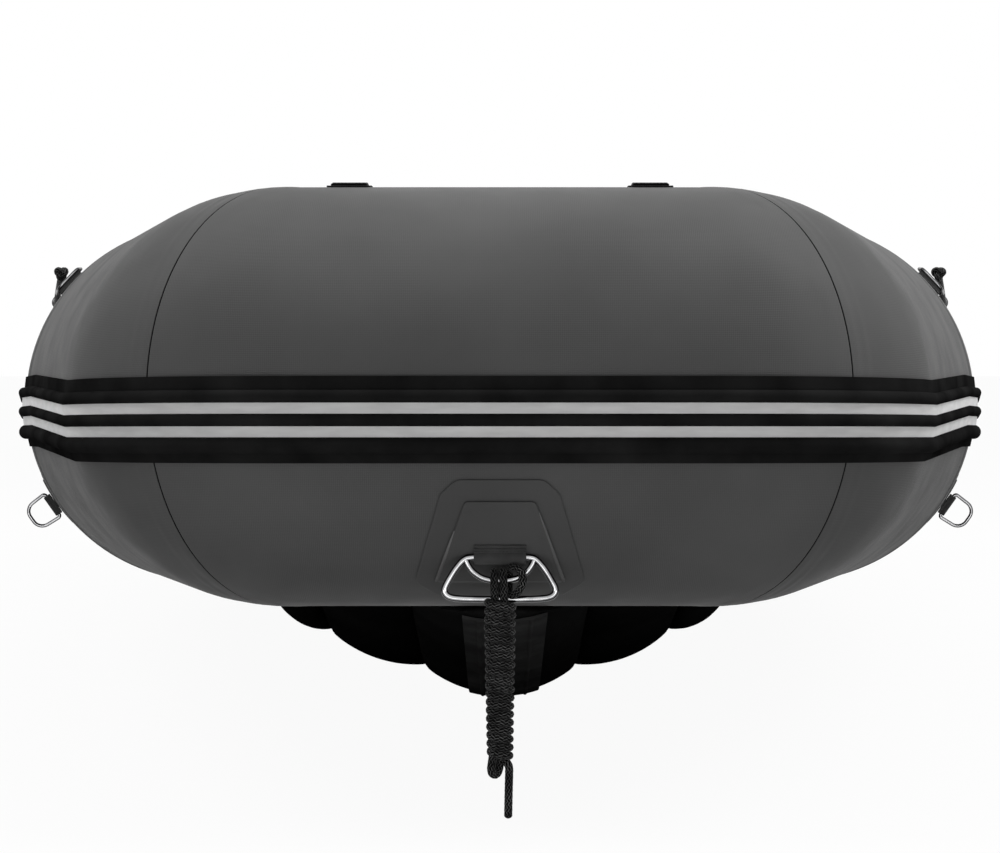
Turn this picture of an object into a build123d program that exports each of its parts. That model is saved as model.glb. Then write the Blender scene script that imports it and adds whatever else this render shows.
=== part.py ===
from build123d import *
from math import asin, cos, pi, radians, sin, sqrt, tan
import os

os.makedirs("parts", exist_ok=True)

# Inflatable boat with a blunt bow, in mm and degrees.
# The bow points along -Y, +X is starboard and the ground is at z = 0.
# The tubes are laid out in their own plane, whose z = 0 is the tube axis.

# Air tubes
tube_r = 215.0
bow_half = 200.0
corner_r = 34.0
corner_deg = 73.6
seam_deg = 33.7
shoulder_len = 430.0
gore_len = 565.0
gore_count = 3
lift_y = 1850.0
lift_deg = 1.97
stern_axis_z = 346.0
seat_gap = 0.3
# overlap of two runs before their mitre or bend is cut
run_over = 120.0

# Stern cones
cone_y = 2700.0
cone_len = 330.0
cone_end_r = 118.0
cap_len = 40.0
cap_wall = 4.0
cap_skirt = 45.0

# Rub strake, heights are taken upwards from its own middle
strake_bow_around = -7.2
strake_side_around = -3.6
strake_top = 43.2
strake_low = -39.7
flange_t = 2.6
bead_small_r = 6.2
bead_large_r = 8.4
bead_centre_h = 3.4
stripe_t = 2.2
stripe_half = 5.4
bead_heights = [(24.5, bead_small_r), (2.3, bead_small_r), (-22.2, bead_large_r)]
stripe_heights = [13.3, -8.8]
strake_settle = 90.0

# Floor: five air lobes side by side
lobe_gap = 0.3
lobe_end_y = 2560.0
forefoot_r = 1300.0
forefoot_deg = 16.0
forefoot_run = 480.0
guard_t = 3.0
guard_half = 44.0
guard_off = 5.0
guard_run = 462.0
guard_rib_r = 3.0
guard_rib_up = 1.3
guard_rib_in = 17.0
# name, inner wall, outer wall, lowest point, its height, edge rise, top, start of the forefoot
lobes = [
    ("centre", -98.0, 98.0, 0.0, guard_t, 36.0, 155.0, 790.0),
    ("inner", 98.0, 233.0, 122.0, 0.0, 43.0, 155.0, 1100.0),
    ("outer", 233.0, 304.0, 251.0, 57.0, 34.0, 152.0, 1042.0),
]
lobe_crown = 12.0
lobe_inner_rise = 0.03
skirt_t = 3.0
skirt_in = 70.0
# distance aft and height of the skirt's inner edge
skirt_stations = [(760.0, 142.0), (1042.0, 122.0), (1450.0, 118.0), (1850.0, 118.0), (2550.0, 118.0)]

# Transom
transom_y = 2620.0
transom_t = 25.0
transom_top_z = 478.0
transom_low_z = 40.0
transom_mid_z = 385.0
bilge_x = 220.0
bilge_rise = 35.0
# the board ends inside the tube, this far under it and this share of its radius inboard of its axis
transom_under = 19.0
transom_tuck = 0.4
bilge_round = 60.0
notch_half = 150.0
notch_slope = 60.0
notch_low_round = 25.0
notch_top_round = 15.0
transom_round = 8.0
holder_t = 5.0
holder_w = 45.0
holder_over = 13.0
holder_under = 30.0
holder_half = 0.75
plate_w = 210.0
plate_h = 190.0
plate_t = 6.0
plate_drop = 8.0
plate_round = 12.0
drain_r = 14.0
drain_z = 95.0
drain_x = 150.0
drain_flange = 9.0
drain_flange_t = 4.0
plug_in = 3.0
plug_h = 7.0

# Bench seat
seat_y = 1560.0
seat_w = 230.0
seat_t = 18.0
seat_half = 400.0
seat_rise = 20.4
seat_round = 25.0
seat_rail_w = 60.0
seat_rail_h = 120.0

# Rowlocks
rowlock_y = 2010.0
rowlock_pad_r = 55.0
rowlock_pad_t = 8.0
rowlock_pad_sink = 30.0
rowlock_boss_r = 17.0
rowlock_boss_h = 33.0
rowlock_pin_r = 6.0
rowlock_fit = 0.05
rowlock_bore_z = 6.0
rowlock_pin_lift = 2.0
rowlock_pin_over = 4.0
rowlock_collar_r = 11.0
rowlock_collar_h = 8.0
rowlock_weld = 2.0
rowlock_ring_r = 27.0
rowlock_wire_r = 5.0

# Tow fitting on the bow's lower front
# half of each outline: across, height and corner radius
tow_patch_half = [(42.0, -75.0, 14.0), (57.0, -89.0, 10.0), (84.0, -180.0, 10.0), (62.0, -196.0, 10.0)]
tow_pad_half = [(34.0, -96.0, 6.0), (63.0, -180.0, 3.0)]
tow_patch_t = 1.6
tow_pad_t = 2.6
tow_wire_r = 2.8
tow_bar_around = -43.0
tow_bar_h = 8.0
tow_keeper_w = 51.0
tow_top_half = 34.0
tow_low_half = 54.0
tow_drop = 34.0
tow_top_round = 7.0
tow_low_round = 11.0
tow_sag = 21.5
tow_sag_flat = 12.0
# the curved bar leaves the ring's sides this far down and turns this far inside them
tow_sag_out = 2.0
tow_sag_from = 6.0
tow_sag_in = 8.0
tow_sag_up = 5.0
tow_sag_round = 20.0
keeper_r = 9.2
keeper_t = 2.6
keeper_play = 0.3

# Carry handles over the bow's crest
handle_x = 154.0
handle_around = 86.0
handle_w = 46.0
handle_len = 120.0
handle_t = 3.4
handle_round = 8.0

# Lifeline fittings high on the tubes and rings low on the bow quarters
shoulder_y = 560.0
line_around = 43.0
line_lean = 50.0
shoulder_lean = 4.0
line_patch_l = 76.0
line_patch_w = 92.0
line_patch_t = 2.6
line_patch_round = 20.0
line_keeper_w = 36.0
line_keeper_l = 15.0
line_keeper_low = 1.1
line_wire_r = 2.2
line_ring_half = 22.0
line_ring_l = 32.0
line_ring_taper = 0.72
line_ring_top = 4.0
line_ring_low = 9.0
quarter_y = 600.0
quarter_around = -35.0
quarter_patch_l = 70.0
quarter_patch_w = 80.0
quarter_keeper_w = 28.0
quarter_half = 17.5
quarter_l = 31.0
quarter_taper = 0.9
quarter_top = 3.5
quarter_low = 13.0
quarter_wire_r = 2.2

# Valves and stern handles
valve_y = 2330.0
valve_around = 142.0
valve_flange_r = 34.0
valve_flange_t = 5.0
valve_cap_r = 24.0
valve_cap_h = 12.0
valve_sink = 6.0
valve_seat = 1.0
valve_edge = 2.0
stern_handle_y = 2520.0
stern_handle_around = 78.0
stern_handle_h = 34.0
handle_foot = 80.0
handle_top = 52.0
grip_t = 9.0
grip_foot_in = 18.0
grip_top_in = 8.0
grip_half = 14.0
grip_round = 3.0
grip_sink = 2.0
tab_l = 46.0
tab_w = 34.0
tab_t = 8.0
tab_out = 4.0

# Painter
rope_r = 4.0
strand_x = [-9.6, -0.6, 8.4]
strand_play = 0.8
strand_round_play = 0.05
strand_drop = 17.9
hank_ahead = 4.9
hank_len = 151.5
hank_top_r = 15.6
hank_low_r = 13.0
hank_edge = 2.0
fold_x = -9.0
fold_back_x = -4.5
fold_ahead = 7.0
fold_back = 9.0
fold_drop = 8.6
fold_r = 8.0
tail_x = 7.6
tail_ahead = 1.0
tail_len = 57.9

# Lifeline
line_r = 4.0
line_step = 100.0
line_offset = 18.0
line_tail = 40.0
line_lift = 21.5
line_settle = 15.5
line_droop = 6.0
line_end_drop = 2.0
line_end_turn = 2.0
line_knot_r = 8.5

front_tilt = Pos(0, lift_y, 0) * Rot(-lift_deg, 0, 0) * Pos(0, -lift_y, 0)
far = 9000.0


def heading(deg):
    return Vector(cos(radians(deg)), sin(radians(deg)), 0)


def outward(deg):
    return Vector(sin(radians(deg)), -cos(radians(deg)), 0)


def section(point, deg):
    """Plane across a tube: local x points out of the boat, local y up."""
    return Plane(origin=point, x_dir=outward(deg), z_dir=heading(deg) * -1)


def keep(shape, point, normal):
    """The part of a shape on the side that the normal points away from."""
    block = Box(far, far, far, align=(Align.CENTER, Align.CENTER, Align.MAX))
    return shape & (Plane(origin=point, z_dir=normal) * block)


def both_sides(shape):
    return [shape, mirror(shape, about=Plane.YZ)]


# Centreline of the starboard tube, port is its mirror image
gore_deg = (90.0 - corner_deg) / gore_count
corner_start = Vector(bow_half, 0, 0)
corner_centre = Vector(bow_half, corner_r, 0)
corner_end = corner_centre + outward(corner_deg) * corner_r
inner_deg = corner_deg / 2
# start point, heading and length of each straight gore
gores = []
spot = corner_end
for index in range(gore_count):
    turn = corner_deg + gore_deg * index
    length = shoulder_len if index == 0 else gore_len
    gores.append((spot, turn, length))
    spot = spot + heading(turn) * length
last_mitre = spot
half_beam = last_mitre.X


def tube_point(distance_y, around, lift=0.0):
    """Point and outward normal on the starboard tube in its own plane."""
    for start, turn, length in reversed(gores):
        if distance_y >= start.Y:
            break
    if distance_y >= last_mitre.Y:
        start, turn = last_mitre, 90.0
    along = (distance_y - start.Y) / heading(turn).Y
    axis = start + heading(turn) * along
    normal = outward(turn) * cos(radians(around)) + Vector(0, 0, sin(radians(around)))
    return axis + normal * (tube_r + lift), normal, heading(turn)


def front(shape):
    return front_tilt * shape


def run_of(face, start, turn, length, entry=None, leave=None):
    """A profile drawn along a straight gore, mitred at both ends."""
    begin = start - heading(turn) * (run_over if entry else 0)
    total = length + (run_over if entry else 0) + (run_over if leave else 0)
    bar = extrude(section(begin, turn) * face, amount=total, dir=heading(turn))
    if entry:
        bar = keep(bar, start, entry * -1)
    if leave:
        bar = keep(bar, start + heading(turn) * length, leave)
    return bar


def mitre(turn_a, turn_b):
    return (heading(turn_a) + heading(turn_b)).normalized()


lift_front = Vector(0, cos(radians(lift_deg / 2)), sin(radians(lift_deg / 2)))
lift_back = Vector(0, cos(radians(lift_deg / 2)), -sin(radians(lift_deg / 2)))
lift_point = Vector(half_beam, lift_y, 0)


def side_runs(face):
    """The straight gores of one profile, the first joined to the corner."""
    runs = []
    for index, (start, turn, length) in enumerate(gores):
        entry = mitre(turn - gore_deg, turn) if index else None
        leave = mitre(turn, turn + gore_deg)
        runs.append(front(run_of(face, start, turn, length, entry, leave)))
    return runs


def aft_runs(face, end_y):
    """From the last mitre over the bend of the sheer to the stern."""
    entry = mitre(90.0 - gore_deg, 90.0)
    ahead = run_of(face, last_mitre, 90.0, lift_y - last_mitre.Y, entry, lift_front)
    start = Vector(half_beam, lift_y - run_over, 0)
    behind = extrude(section(start, 90.0) * face, amount=end_y - start.Y, dir=heading(90.0))
    behind = keep(behind, lift_point, lift_back * -1)
    return front(ahead) + behind


# Air tubes, cut at their seams
disc = Circle(tube_r)
outer_half = disc & (Pos(far / 2 - corner_r, 0) * Rectangle(far, far))
corner_axis = Axis(corner_centre, (0, 0, 1))
bow_mid = Vector(0, 0, 0)
seam_start = corner_centre + outward(seam_deg) * corner_r


def bow_straight(face):
    """From the bow's middle to the corner, trimmed at the crease inside it."""
    bar = extrude(section(bow_mid, 0) * face, amount=bow_half, dir=heading(0))
    return keep(bar, corner_centre, heading(inner_deg))


def shoulder_straight(face):
    """First straight gore, trimmed at the crease inside the corner."""
    start, turn, length = gores[0]
    bar = run_of(face, start, turn, length, None, mitre(turn, turn + gore_deg))
    return keep(bar, corner_centre, heading(inner_deg) * -1)


bow_bend = revolve(section(corner_start, 0) * outer_half, corner_axis, seam_deg)
bow_side = bow_straight(disc) + bow_bend
tube_bow = front(bow_side + mirror(bow_side, about=Plane.YZ))
side_bend = revolve(section(seam_start, seam_deg) * outer_half, corner_axis,
                    corner_deg - seam_deg)
tube_gores = side_runs(disc)
tube_shoulder = front(side_bend + shoulder_straight(disc))
tube_aft = aft_runs(disc, cone_y)

# Stern cones and their moulded caps
cone_start = Vector(half_beam, cone_y, 0)
cone_axis = Axis(cone_start, (0, 1, 0))


def turned(points):
    """Solid of revolution about the cone axis from (distance aft, radius) points."""
    place = Plane(origin=cone_start, x_dir=(0, 1, 0), z_dir=(1, 0, 0))
    return revolve(place * make_face(Polyline(*points, close=True)), cone_axis, 360)


def cone_r(distance):
    return tube_r + (cone_end_r - tube_r) * distance / cone_len


stern_cone = turned([(0, 0), (0, tube_r), (cone_len, cone_end_r), (cone_len, 0)])
skirt_r = cone_r(cone_len - cap_skirt) + seat_gap
stern_cap = turned([
    (cone_len + seat_gap, 0), (cone_len + seat_gap, cone_end_r + seat_gap),
    (cone_len - cap_skirt, skirt_r), (cone_len - cap_skirt, skirt_r + cap_wall),
    (cone_len + seat_gap, cone_end_r + cap_wall), (cone_len + cap_len * 0.6, cone_end_r * 0.86),
    (cone_len + cap_len, cone_end_r * 0.5), (cone_len + cap_len, 0),
])

# Rub strake


def band(low, high, base, thick):
    """Strip lying on the tube between two heights, as a flat profile."""
    ring = Circle(tube_r + base + thick) - Circle(tube_r + base)
    middle = (low + high) / 2
    window = Pos(tube_r, middle) * Rectangle(tube_r, high - low)
    return ring & window


def bead(height, radius):
    angle = asin(height / (tube_r + bead_centre_h))
    spot_r = tube_r + bead_centre_h
    return Pos(spot_r * cos(angle), spot_r * sin(angle)) * Circle(radius)


strake_face = band(strake_low, strake_top, seat_gap, flange_t)
for height, radius in bead_heights:
    strake_face += bead(height, radius)
strake_face -= Circle(tube_r + seat_gap)
stripe_face = Sketch()
for height in stripe_heights:
    stripe_face += band(height - stripe_half, height + stripe_half,
                        seat_gap + flange_t, stripe_t)
stripe_face -= strake_face


def round_boat(face):
    """Bow part, then the side gores: the strake lies lower round the bow."""
    low = Rot(0, 0, strake_bow_around) * face
    high = Rot(0, 0, strake_side_around) * face
    ahead = extrude(section(bow_mid, 0) * low, amount=bow_half, dir=heading(0))
    bend = revolve(section(corner_start, 0) * low, corner_axis, corner_deg)
    start, turn, length = gores[0]
    twist_len = length - strake_settle
    climb = []
    twist_end = start + heading(turn) * twist_len
    for one, other in zip((section(start, turn) * low).faces(),
                          (section(twist_end, turn) * high).faces()):
        climb.append(loft([one, other], ruled=True))
    level = run_of(high, twist_end, turn, strake_settle, None, mitre(turn, turn + gore_deg))
    first = front(Part() + climb + level)
    runs = [first] + side_runs(high)[1:]
    return front(ahead), front(bend), runs, aft_runs(high, cone_y)


parts = {}
parts["tube_bow"] = [tube_bow]
parts["tube_shoulder"] = [tube_shoulder, mirror(tube_shoulder, about=Plane.YZ)]
parts["tube_side_fwd"] = [tube_gores[1], mirror(tube_gores[1], about=Plane.YZ)]
parts["tube_side_mid"] = [tube_gores[2], mirror(tube_gores[2], about=Plane.YZ)]
parts["tube_side_aft"] = [tube_aft, mirror(tube_aft, about=Plane.YZ)]
parts["stern_cone"] = [stern_cone, mirror(stern_cone, about=Plane.YZ)]
parts["stern_cap"] = [stern_cap, mirror(stern_cap, about=Plane.YZ)]

for name, face in (("strake", strake_face), ("stripe", stripe_face)):
    ahead, bend, runs, back = round_boat(face)
    parts[name + "_bow"] = []
    for piece in (ahead + bend).solids():
        both = Part() + piece + mirror(piece, about=Plane.YZ)
        parts[name + "_bow"].append(both)
    side = []
    for piece in (runs[0] + runs[1] + runs[2] + back).solids():
        side += [piece, mirror(piece, about=Plane.YZ)]
    parts[name + "_side"] = side

# Floor lobes: profile across the boat, run forward, then bent up under the bow
fat_disc = Circle(tube_r + seat_gap)
fat_outer = fat_disc & (Pos(far / 2 - corner_r, 0) * Rectangle(far, far))
fat_bend = revolve(section(corner_start, 0) * fat_outer, corner_axis, corner_deg)
fat_side = front(bow_straight(fat_disc) + fat_bend + shoulder_straight(fat_disc))
fat_gores = side_runs(fat_disc)
fat_side = fat_side + fat_gores[1]
fat_aft = aft_runs(fat_disc, cone_y)
to_tubes = Pos(0, 0, -stern_axis_z)


def lobe_face(inner, outer, low_x, low_z, rise, top):
    """Rounded bottom and top between two upright walls, x across and y up."""
    left, right = inner + lobe_gap / 2, outer - lobe_gap / 2
    if inner < 0:
        base = ThreePointArc((left, low_z + rise), (low_x, low_z), (right, low_z + rise))
    else:
        base = ThreePointArc((left, low_z + rise * lobe_inner_rise), (low_x, low_z), (right, low_z + rise))
    wall_r = Line(base @ 1, (right, top - lobe_crown))
    crown = ThreePointArc((right, top - lobe_crown), ((left + right) / 2, top),
                          (left, top - lobe_crown))
    wall_l = Line(crown @ 1, base @ 0)
    return make_face([base, wall_r, crown, wall_l])


def swept_up(face, begin_y, turn_y, radius, angle, run):
    """Run forward to turn_y, bend up by an angle and run on along the slope."""
    place = Plane(origin=(0, begin_y, 0), x_dir=(1, 0, 0), z_dir=(0, -1, 0))
    straight = extrude(place * face, amount=begin_y - turn_y, dir=(0, -1, 0))
    bend_place = Plane(origin=(0, turn_y, 0), x_dir=(1, 0, 0), z_dir=(0, -1, 0))
    bend_axis = Axis((0, turn_y, radius), (-1, 0, 0))
    bend = revolve(bend_place * face, bend_axis, angle)
    slope = extrude(bend_place * face, amount=run, dir=(0, -1, 0)).rotate(bend_axis, angle)
    return straight + bend + slope


for name, inner, outer, low_x, low_z, rise, top, start_y in lobes:
    lobe = swept_up(lobe_face(inner, outer, low_x, low_z, rise, top), lobe_end_y, start_y,
                    forefoot_r, forefoot_deg, forefoot_run)
    lobe = to_tubes * lobe
    lobe = lobe - fat_side - mirror(fat_side, about=Plane.YZ)
    lobe = max(lobe.solids(), key=lambda piece: piece.volume)
    parts["floor_" + name] = [lobe]
    if inner > 0:
        parts["floor_" + name].append(mirror(lobe, about=Plane.YZ))

# Keel guard: a strip round the centre lobe with a rib along each side
keel_name, keel_wall, keel_half, keel_x, keel_z, keel_rise, keel_top, keel_start = lobes[0]
lobe_r = (keel_half ** 2 + keel_rise ** 2) / (2 * keel_rise)
keel_centre = Pos(0, keel_z + lobe_r)
guard_ring = keel_centre * (Circle(lobe_r + guard_t) - Circle(lobe_r + seat_gap))
guard_face = guard_ring & (Pos(guard_off, 0) * Rectangle(2 * guard_half, lobe_r))
for rib_x in (guard_off - guard_half + guard_rib_in, guard_off + guard_half - guard_rib_in):
    rib_way = lobe_r + guard_t + guard_rib_up - guard_rib_r
    rib_turn = asin(rib_x / rib_way)
    guard_face += keel_centre * Pos(rib_way * sin(rib_turn), -rib_way * cos(rib_turn)) * Circle(guard_rib_r)
guard_face -= keel_centre * Circle(lobe_r + seat_gap)
guard = to_tubes * swept_up(guard_face, lobe_end_y, keel_start, forefoot_r, forefoot_deg, guard_run)
guard = guard - fat_side - mirror(fat_side, about=Plane.YZ)
parts["keel_guard"] = [max(guard.solids(), key=lambda piece: piece.volume)]

# Fabric skirt from the outer lobe to the underside of the tube
lobe_side = lobes[2][2] + lobe_gap


def skirt_section(y, inner_z):
    """Four-cornered slice of the skirt, square to the boat."""
    along, axis_z = tube_point(y, 0, -tube_r)[0].X, max(lift_y - y, 0) * tan(radians(lift_deg))
    outer_x = along - skirt_in
    outer_z = axis_z - sqrt((tube_r + seat_gap) ** 2 - skirt_in ** 2)
    inner = inner_z - stern_axis_z
    corners = [(lobe_side, y, inner - skirt_t), (lobe_side, y, inner),
               (outer_x, y, outer_z), (outer_x, y, outer_z - skirt_t)]
    return make_face(Polyline(*corners, close=True))


skirt = loft([skirt_section(y, z) for y, z in skirt_stations], ruled=True)
skirt = skirt - fat_side - fat_aft
skirt = max(skirt.solids(), key=lambda piece: piece.volume)
parts["floor_skirt"] = both_sides(skirt)

# Transom
board_x = half_beam - transom_tuck * tube_r
board_z = stern_axis_z - tube_r + transom_under
# across, height and corner radius of the starboard half, from the notch round to the bilge
board_half = [
    (notch_half, transom_mid_z, notch_low_round), (notch_half + notch_slope, transom_top_z, notch_top_round),
    (board_x, transom_top_z, transom_round), (board_x, board_z, transom_round),
    (bilge_x, transom_low_z + bilge_rise, bilge_round),
]


def rounded(half, bottom=None):
    """A symmetrical outline from its starboard half, each corner with its own radius."""
    right = [(x, y, r) for x, y, r in half]
    left = [(-x, y, r) for x, y, r in reversed(half)]
    middle = [bottom] if bottom else []
    around = right + middle + left
    corners = [(x, y) for x, y, r in around]
    return make_face(FilletPolyline(*corners, radius=[r for x, y, r in around], close=True))


board = rounded(board_half, (0, transom_low_z, bilge_round))
tube_hole = Circle(tube_r + holder_t + 2 * seat_gap)
for side in (-1, 1):
    board -= Pos(side * half_beam, stern_axis_z) * tube_hole
    for drain in (-drain_x, drain_x):
        board -= Pos(drain, drain_z) * Circle(drain_r)
upright = Plane(origin=(0, transom_y, 0), x_dir=(1, 0, 0), z_dir=(0, -1, 0))
transom = extrude(upright * board, amount=transom_t, dir=(0, 1, 0))
parts["transom"] = [to_tubes * transom]

plate_face = Pos(0, transom_mid_z - plate_h / 2 - plate_drop) * RectangleRounded(plate_w, plate_h, plate_round)
back = Plane(origin=(0, transom_y + transom_t, 0), x_dir=(1, 0, 0), z_dir=(0, -1, 0))
outer_plate = extrude(back * plate_face, amount=plate_t, dir=(0, 1, 0))
ahead = Plane(origin=(0, transom_y - plate_t, 0), x_dir=(1, 0, 0), z_dir=(0, -1, 0))
inner_plate = extrude(ahead * plate_face, amount=plate_t, dir=(0, 1, 0))
parts["motor_plate"] = [to_tubes * outer_plate, to_tubes * inner_plate]

# Transom holders: rubber strips on the tube that the board stands in
holder_ring = Circle(tube_r + seat_gap + holder_t) - Circle(tube_r + seat_gap)
holder_up = transom_top_z - stern_axis_z + holder_over
holder_down = tube_r - holder_under
holder_window = Pos(-tube_r, (holder_up - holder_down) / 2) * Rectangle(
    2 * holder_half * tube_r, holder_up + holder_down)
holder_face = holder_ring & holder_window
start = Vector(half_beam, transom_y - holder_w, 0)
strip = Plane(origin=start, x_dir=(1, 0, 0), z_dir=(0, -1, 0))
holder = extrude(strip * holder_face, amount=2 * holder_w + transom_t, dir=(0, 1, 0))
parts["transom_holder"] = [holder, mirror(holder, about=Plane.YZ)]

# Bench seat and its rails
seat_axis = tube_point(seat_y, 0, -tube_r)[0]
seat_lift = (lift_y - seat_y) * sin(radians(lift_deg))
seat_low = seat_lift + sqrt(tube_r ** 2 - (seat_axis.X - seat_half) ** 2) + seat_rise
seat = Pos(0, seat_y, seat_low + seat_t / 2) * Box(2 * seat_half, seat_w, seat_t)
seat = fillet(seat.edges().filter_by(Axis.Z), seat_round)
parts["seat_board"] = [seat]
rail = Pos(seat_half - seat_rail_w / 2, seat_y, seat_low - seat_rail_h / 2) * Box(
    seat_rail_w, seat_w, seat_rail_h - 2 * seat_gap)
rail = rail - fat_gores[2] - fat_gores[1] - fat_aft
rail = max(rail.solids(), key=lambda piece: piece.center().Z)
parts["seat_rail"] = [rail, mirror(rail, about=Plane.YZ)]

# Rowlocks: pad and boss on the tube, ring with a pin in the boss
post = Plane(origin=(half_beam, rowlock_y, tube_r + seat_gap), x_dir=(0, 1, 0), z_dir=(0, 0, 1))
upright_from = (Align.CENTER, Align.CENTER, Align.MIN)
pad = post * (Pos(0, 0, -rowlock_pad_sink) * Cylinder(
    rowlock_pad_r, rowlock_pad_sink + rowlock_pad_t, align=upright_from))
pad = pad - fat_aft
pad = max(pad.solids(), key=lambda piece: piece.center().Z)
boss_top = rowlock_pad_t + rowlock_boss_h
boss = post * (Pos(0, 0, rowlock_bore_z) * Cylinder(
    rowlock_boss_r, boss_top - rowlock_bore_z, align=upright_from))
hole = post * (Pos(0, 0, rowlock_bore_z) * Cylinder(
    rowlock_pin_r + rowlock_fit, boss_top, align=upright_from))
base = (pad + boss) - hole
parts["rowlock_base"] = [base, mirror(base, about=Plane.YZ)]
pin_low = rowlock_bore_z + rowlock_pin_lift
pin = post * (Pos(0, 0, pin_low) * Cylinder(
    rowlock_pin_r, boss_top + rowlock_collar_h + rowlock_pin_over - pin_low, align=upright_from))
collar = post * (Pos(0, 0, boss_top + seat_gap) * Cylinder(
    rowlock_collar_r, rowlock_collar_h, align=upright_from))
ring_z = boss_top + rowlock_collar_h + rowlock_ring_r + rowlock_wire_r - rowlock_weld
ring = post * (Pos(0, 0, ring_z) * Rot(90, 0, 0) * Torus(rowlock_ring_r, rowlock_wire_r))
rowlock = pin + collar + ring
parts["rowlock_stbd"] = [rowlock]
parts["rowlock_port"] = [mirror(rowlock, about=Plane.YZ)]

# Fittings on the fabric


def side_frame(distance_y, around):
    """Frame on a side tube's axis: x aft along it, z out through the fabric."""
    point, normal, along = tube_point(distance_y, around, -tube_r)
    plane = Plane(origin=point, x_dir=along, z_dir=normal)
    if distance_y < lift_y:
        plane = Plane(front_tilt * plane.location)
    return plane


def bow_frame(across, around):
    """Frame on the bow tube's axis: x to starboard, z out through the fabric."""
    normal = Vector(0, -cos(radians(around)), sin(radians(around)))
    plane = Plane(origin=(across, 0, 0), x_dir=(1, 0, 0), z_dir=normal)
    return Plane(front_tilt * plane.location)


def on_skin(frame, outline, base, thick):
    """An outline laid on the tube as a sheet, base above the fabric."""
    prism = extrude(outline, amount=2 * tube_r, dir=(0, 0, 1))
    sheet = Cylinder(tube_r + base + thick, 2 * tube_r) - Cylinder(tube_r + base, 2 * tube_r)
    return frame * (prism & (Rot(0, 90, 0) * sheet))


def above_skin(shape, base):
    """Trim a fitting drawn in a tube frame to what lies outside the fabric."""
    return shape - Rot(0, 90, 0) * Cylinder(tube_r + base, 3 * tube_r)


def wire_ring(points, radii, wire_r):
    """Closed bent wire in the x, z plane."""
    corners = [(x, 0, z) for x, z in points]
    path = FilletPolyline(*corners, radius=radii, close=True)
    begin = path @ 0
    profile = Plane(origin=begin, z_dir=path % 0) * Circle(wire_r)
    return sweep(profile, path=path)


# Tow fitting: outer patch, raised pad, keeper and ring
tow_frame = bow_frame(0, -lift_deg)
patch_face = rounded(tow_patch_half)
pad_face = rounded(tow_pad_half)
parts["tow_patch"] = [on_skin(tow_frame, patch_face, seat_gap, tow_patch_t)]
pad_base = 2 * seat_gap + tow_patch_t
tow_pad = on_skin(tow_frame, pad_face, pad_base, tow_pad_t)
parts["tow_pad"] = [tow_pad]
keeper_base = pad_base + tow_pad_t + seat_gap
bar_frame = bow_frame(0, tow_bar_around - lift_deg)
roll = Pos(0, 0, tube_r + tow_bar_h) * Rot(0, 90, 0) * (
    Cylinder(keeper_r, tow_keeper_w) - Cylinder(tow_wire_r + keeper_play, tow_keeper_w))
parts["tow_keeper"] = [bar_frame * above_skin(roll, keeper_base)]
bow_axis = (front_tilt * Location((0, 0, 0))).position
hang = Pos(0, bow_axis.Y - (tube_r + tow_bar_h) * cos(radians(tow_bar_around)),
           bow_axis.Z + (tube_r + tow_bar_h) * sin(radians(tow_bar_around)))
hoop = wire_ring([(-tow_top_half, 0), (tow_top_half, 0), (tow_low_half, -tow_drop),
                  (-tow_low_half, -tow_drop)],
                 [tow_top_round, tow_top_round, tow_low_round, tow_low_round], tow_wire_r)
sag_end = tow_top_half + tow_sag_out
sag_turn = tow_top_half - tow_sag_in
sag = FilletPolyline(
    (-sag_end, 0, -tow_sag_from), (-sag_turn, 0, tow_sag_up - tow_sag), (-tow_sag_flat, 0, -tow_sag),
    (tow_sag_flat, 0, -tow_sag), (sag_turn, 0, tow_sag_up - tow_sag), (sag_end, 0, -tow_sag_from),
    radius=[tow_sag_in, tow_sag_round, tow_sag_round, tow_sag_in])
sag_bar = sweep(Plane(origin=sag @ 0, z_dir=sag % 0) * Circle(tow_wire_r), path=sag)
parts["tow_ring"] = [hang * (hoop + sag_bar)]

# Carry handles over the bow's crest
handle = on_skin(bow_frame(handle_x, handle_around),
                 RectangleRounded(handle_w, handle_len, handle_round), seat_gap, handle_t)
parts["bow_handle"] = both_sides(handle)

# Side fittings: a patch, a webbing keeper and a bent wire ring
# node stem, distance aft, lean of the ring away from the fabric
stations = [
    ("shoulder", shoulder_y, shoulder_lean),
    ("line", 1130.0, line_lean),
    ("line", 1660.0, line_lean),
    ("line", 2140.0, line_lean),
    ("line", 2610.0, line_lean),
]
for stem, distance_y, lean in stations:
    frame = side_frame(distance_y, line_around)
    patch = on_skin(frame, RectangleRounded(line_patch_l, line_patch_w, line_patch_round),
                    seat_gap, line_patch_t)
    base = 2 * seat_gap + line_patch_t
    bar_h = base + keeper_t + line_wire_r + keeper_play
    bore = Pos(0, 0, tube_r + bar_h) * Rot(90, 0, 0) * Cylinder(line_wire_r + keeper_play, line_keeper_w)
    roll = Pos(0, 0, tube_r + bar_h) * Rot(90, 0, 0) * Cylinder(
        line_wire_r + keeper_play + keeper_t, line_keeper_w)
    flaps = Pos(0, 0, tube_r + base - line_keeper_low) * Box(
        2 * line_keeper_l, line_keeper_w, 2 * (keeper_t + line_keeper_low), align=(Align.CENTER, Align.CENTER, Align.CENTER))
    keeper = frame * above_skin(roll + flaps - bore, base)
    ring = Pos(0, 0, tube_r + bar_h) * Rot(0, 0, 90) * Rot(-90 + lean, 0, 0) * wire_ring(
        [(-line_ring_half, 0), (line_ring_half, 0),
         (line_ring_half * line_ring_taper, line_ring_l), (-line_ring_half * line_ring_taper, line_ring_l)],
        [line_ring_top, line_ring_top, line_ring_low, line_ring_low], line_wire_r)
    ring = frame * ring
    for kind, piece in (("patch", patch), ("keeper", keeper), ("ring", ring)):
        parts.setdefault(stem + "_" + kind, [])
        parts[stem + "_" + kind] += both_sides(piece)

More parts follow.
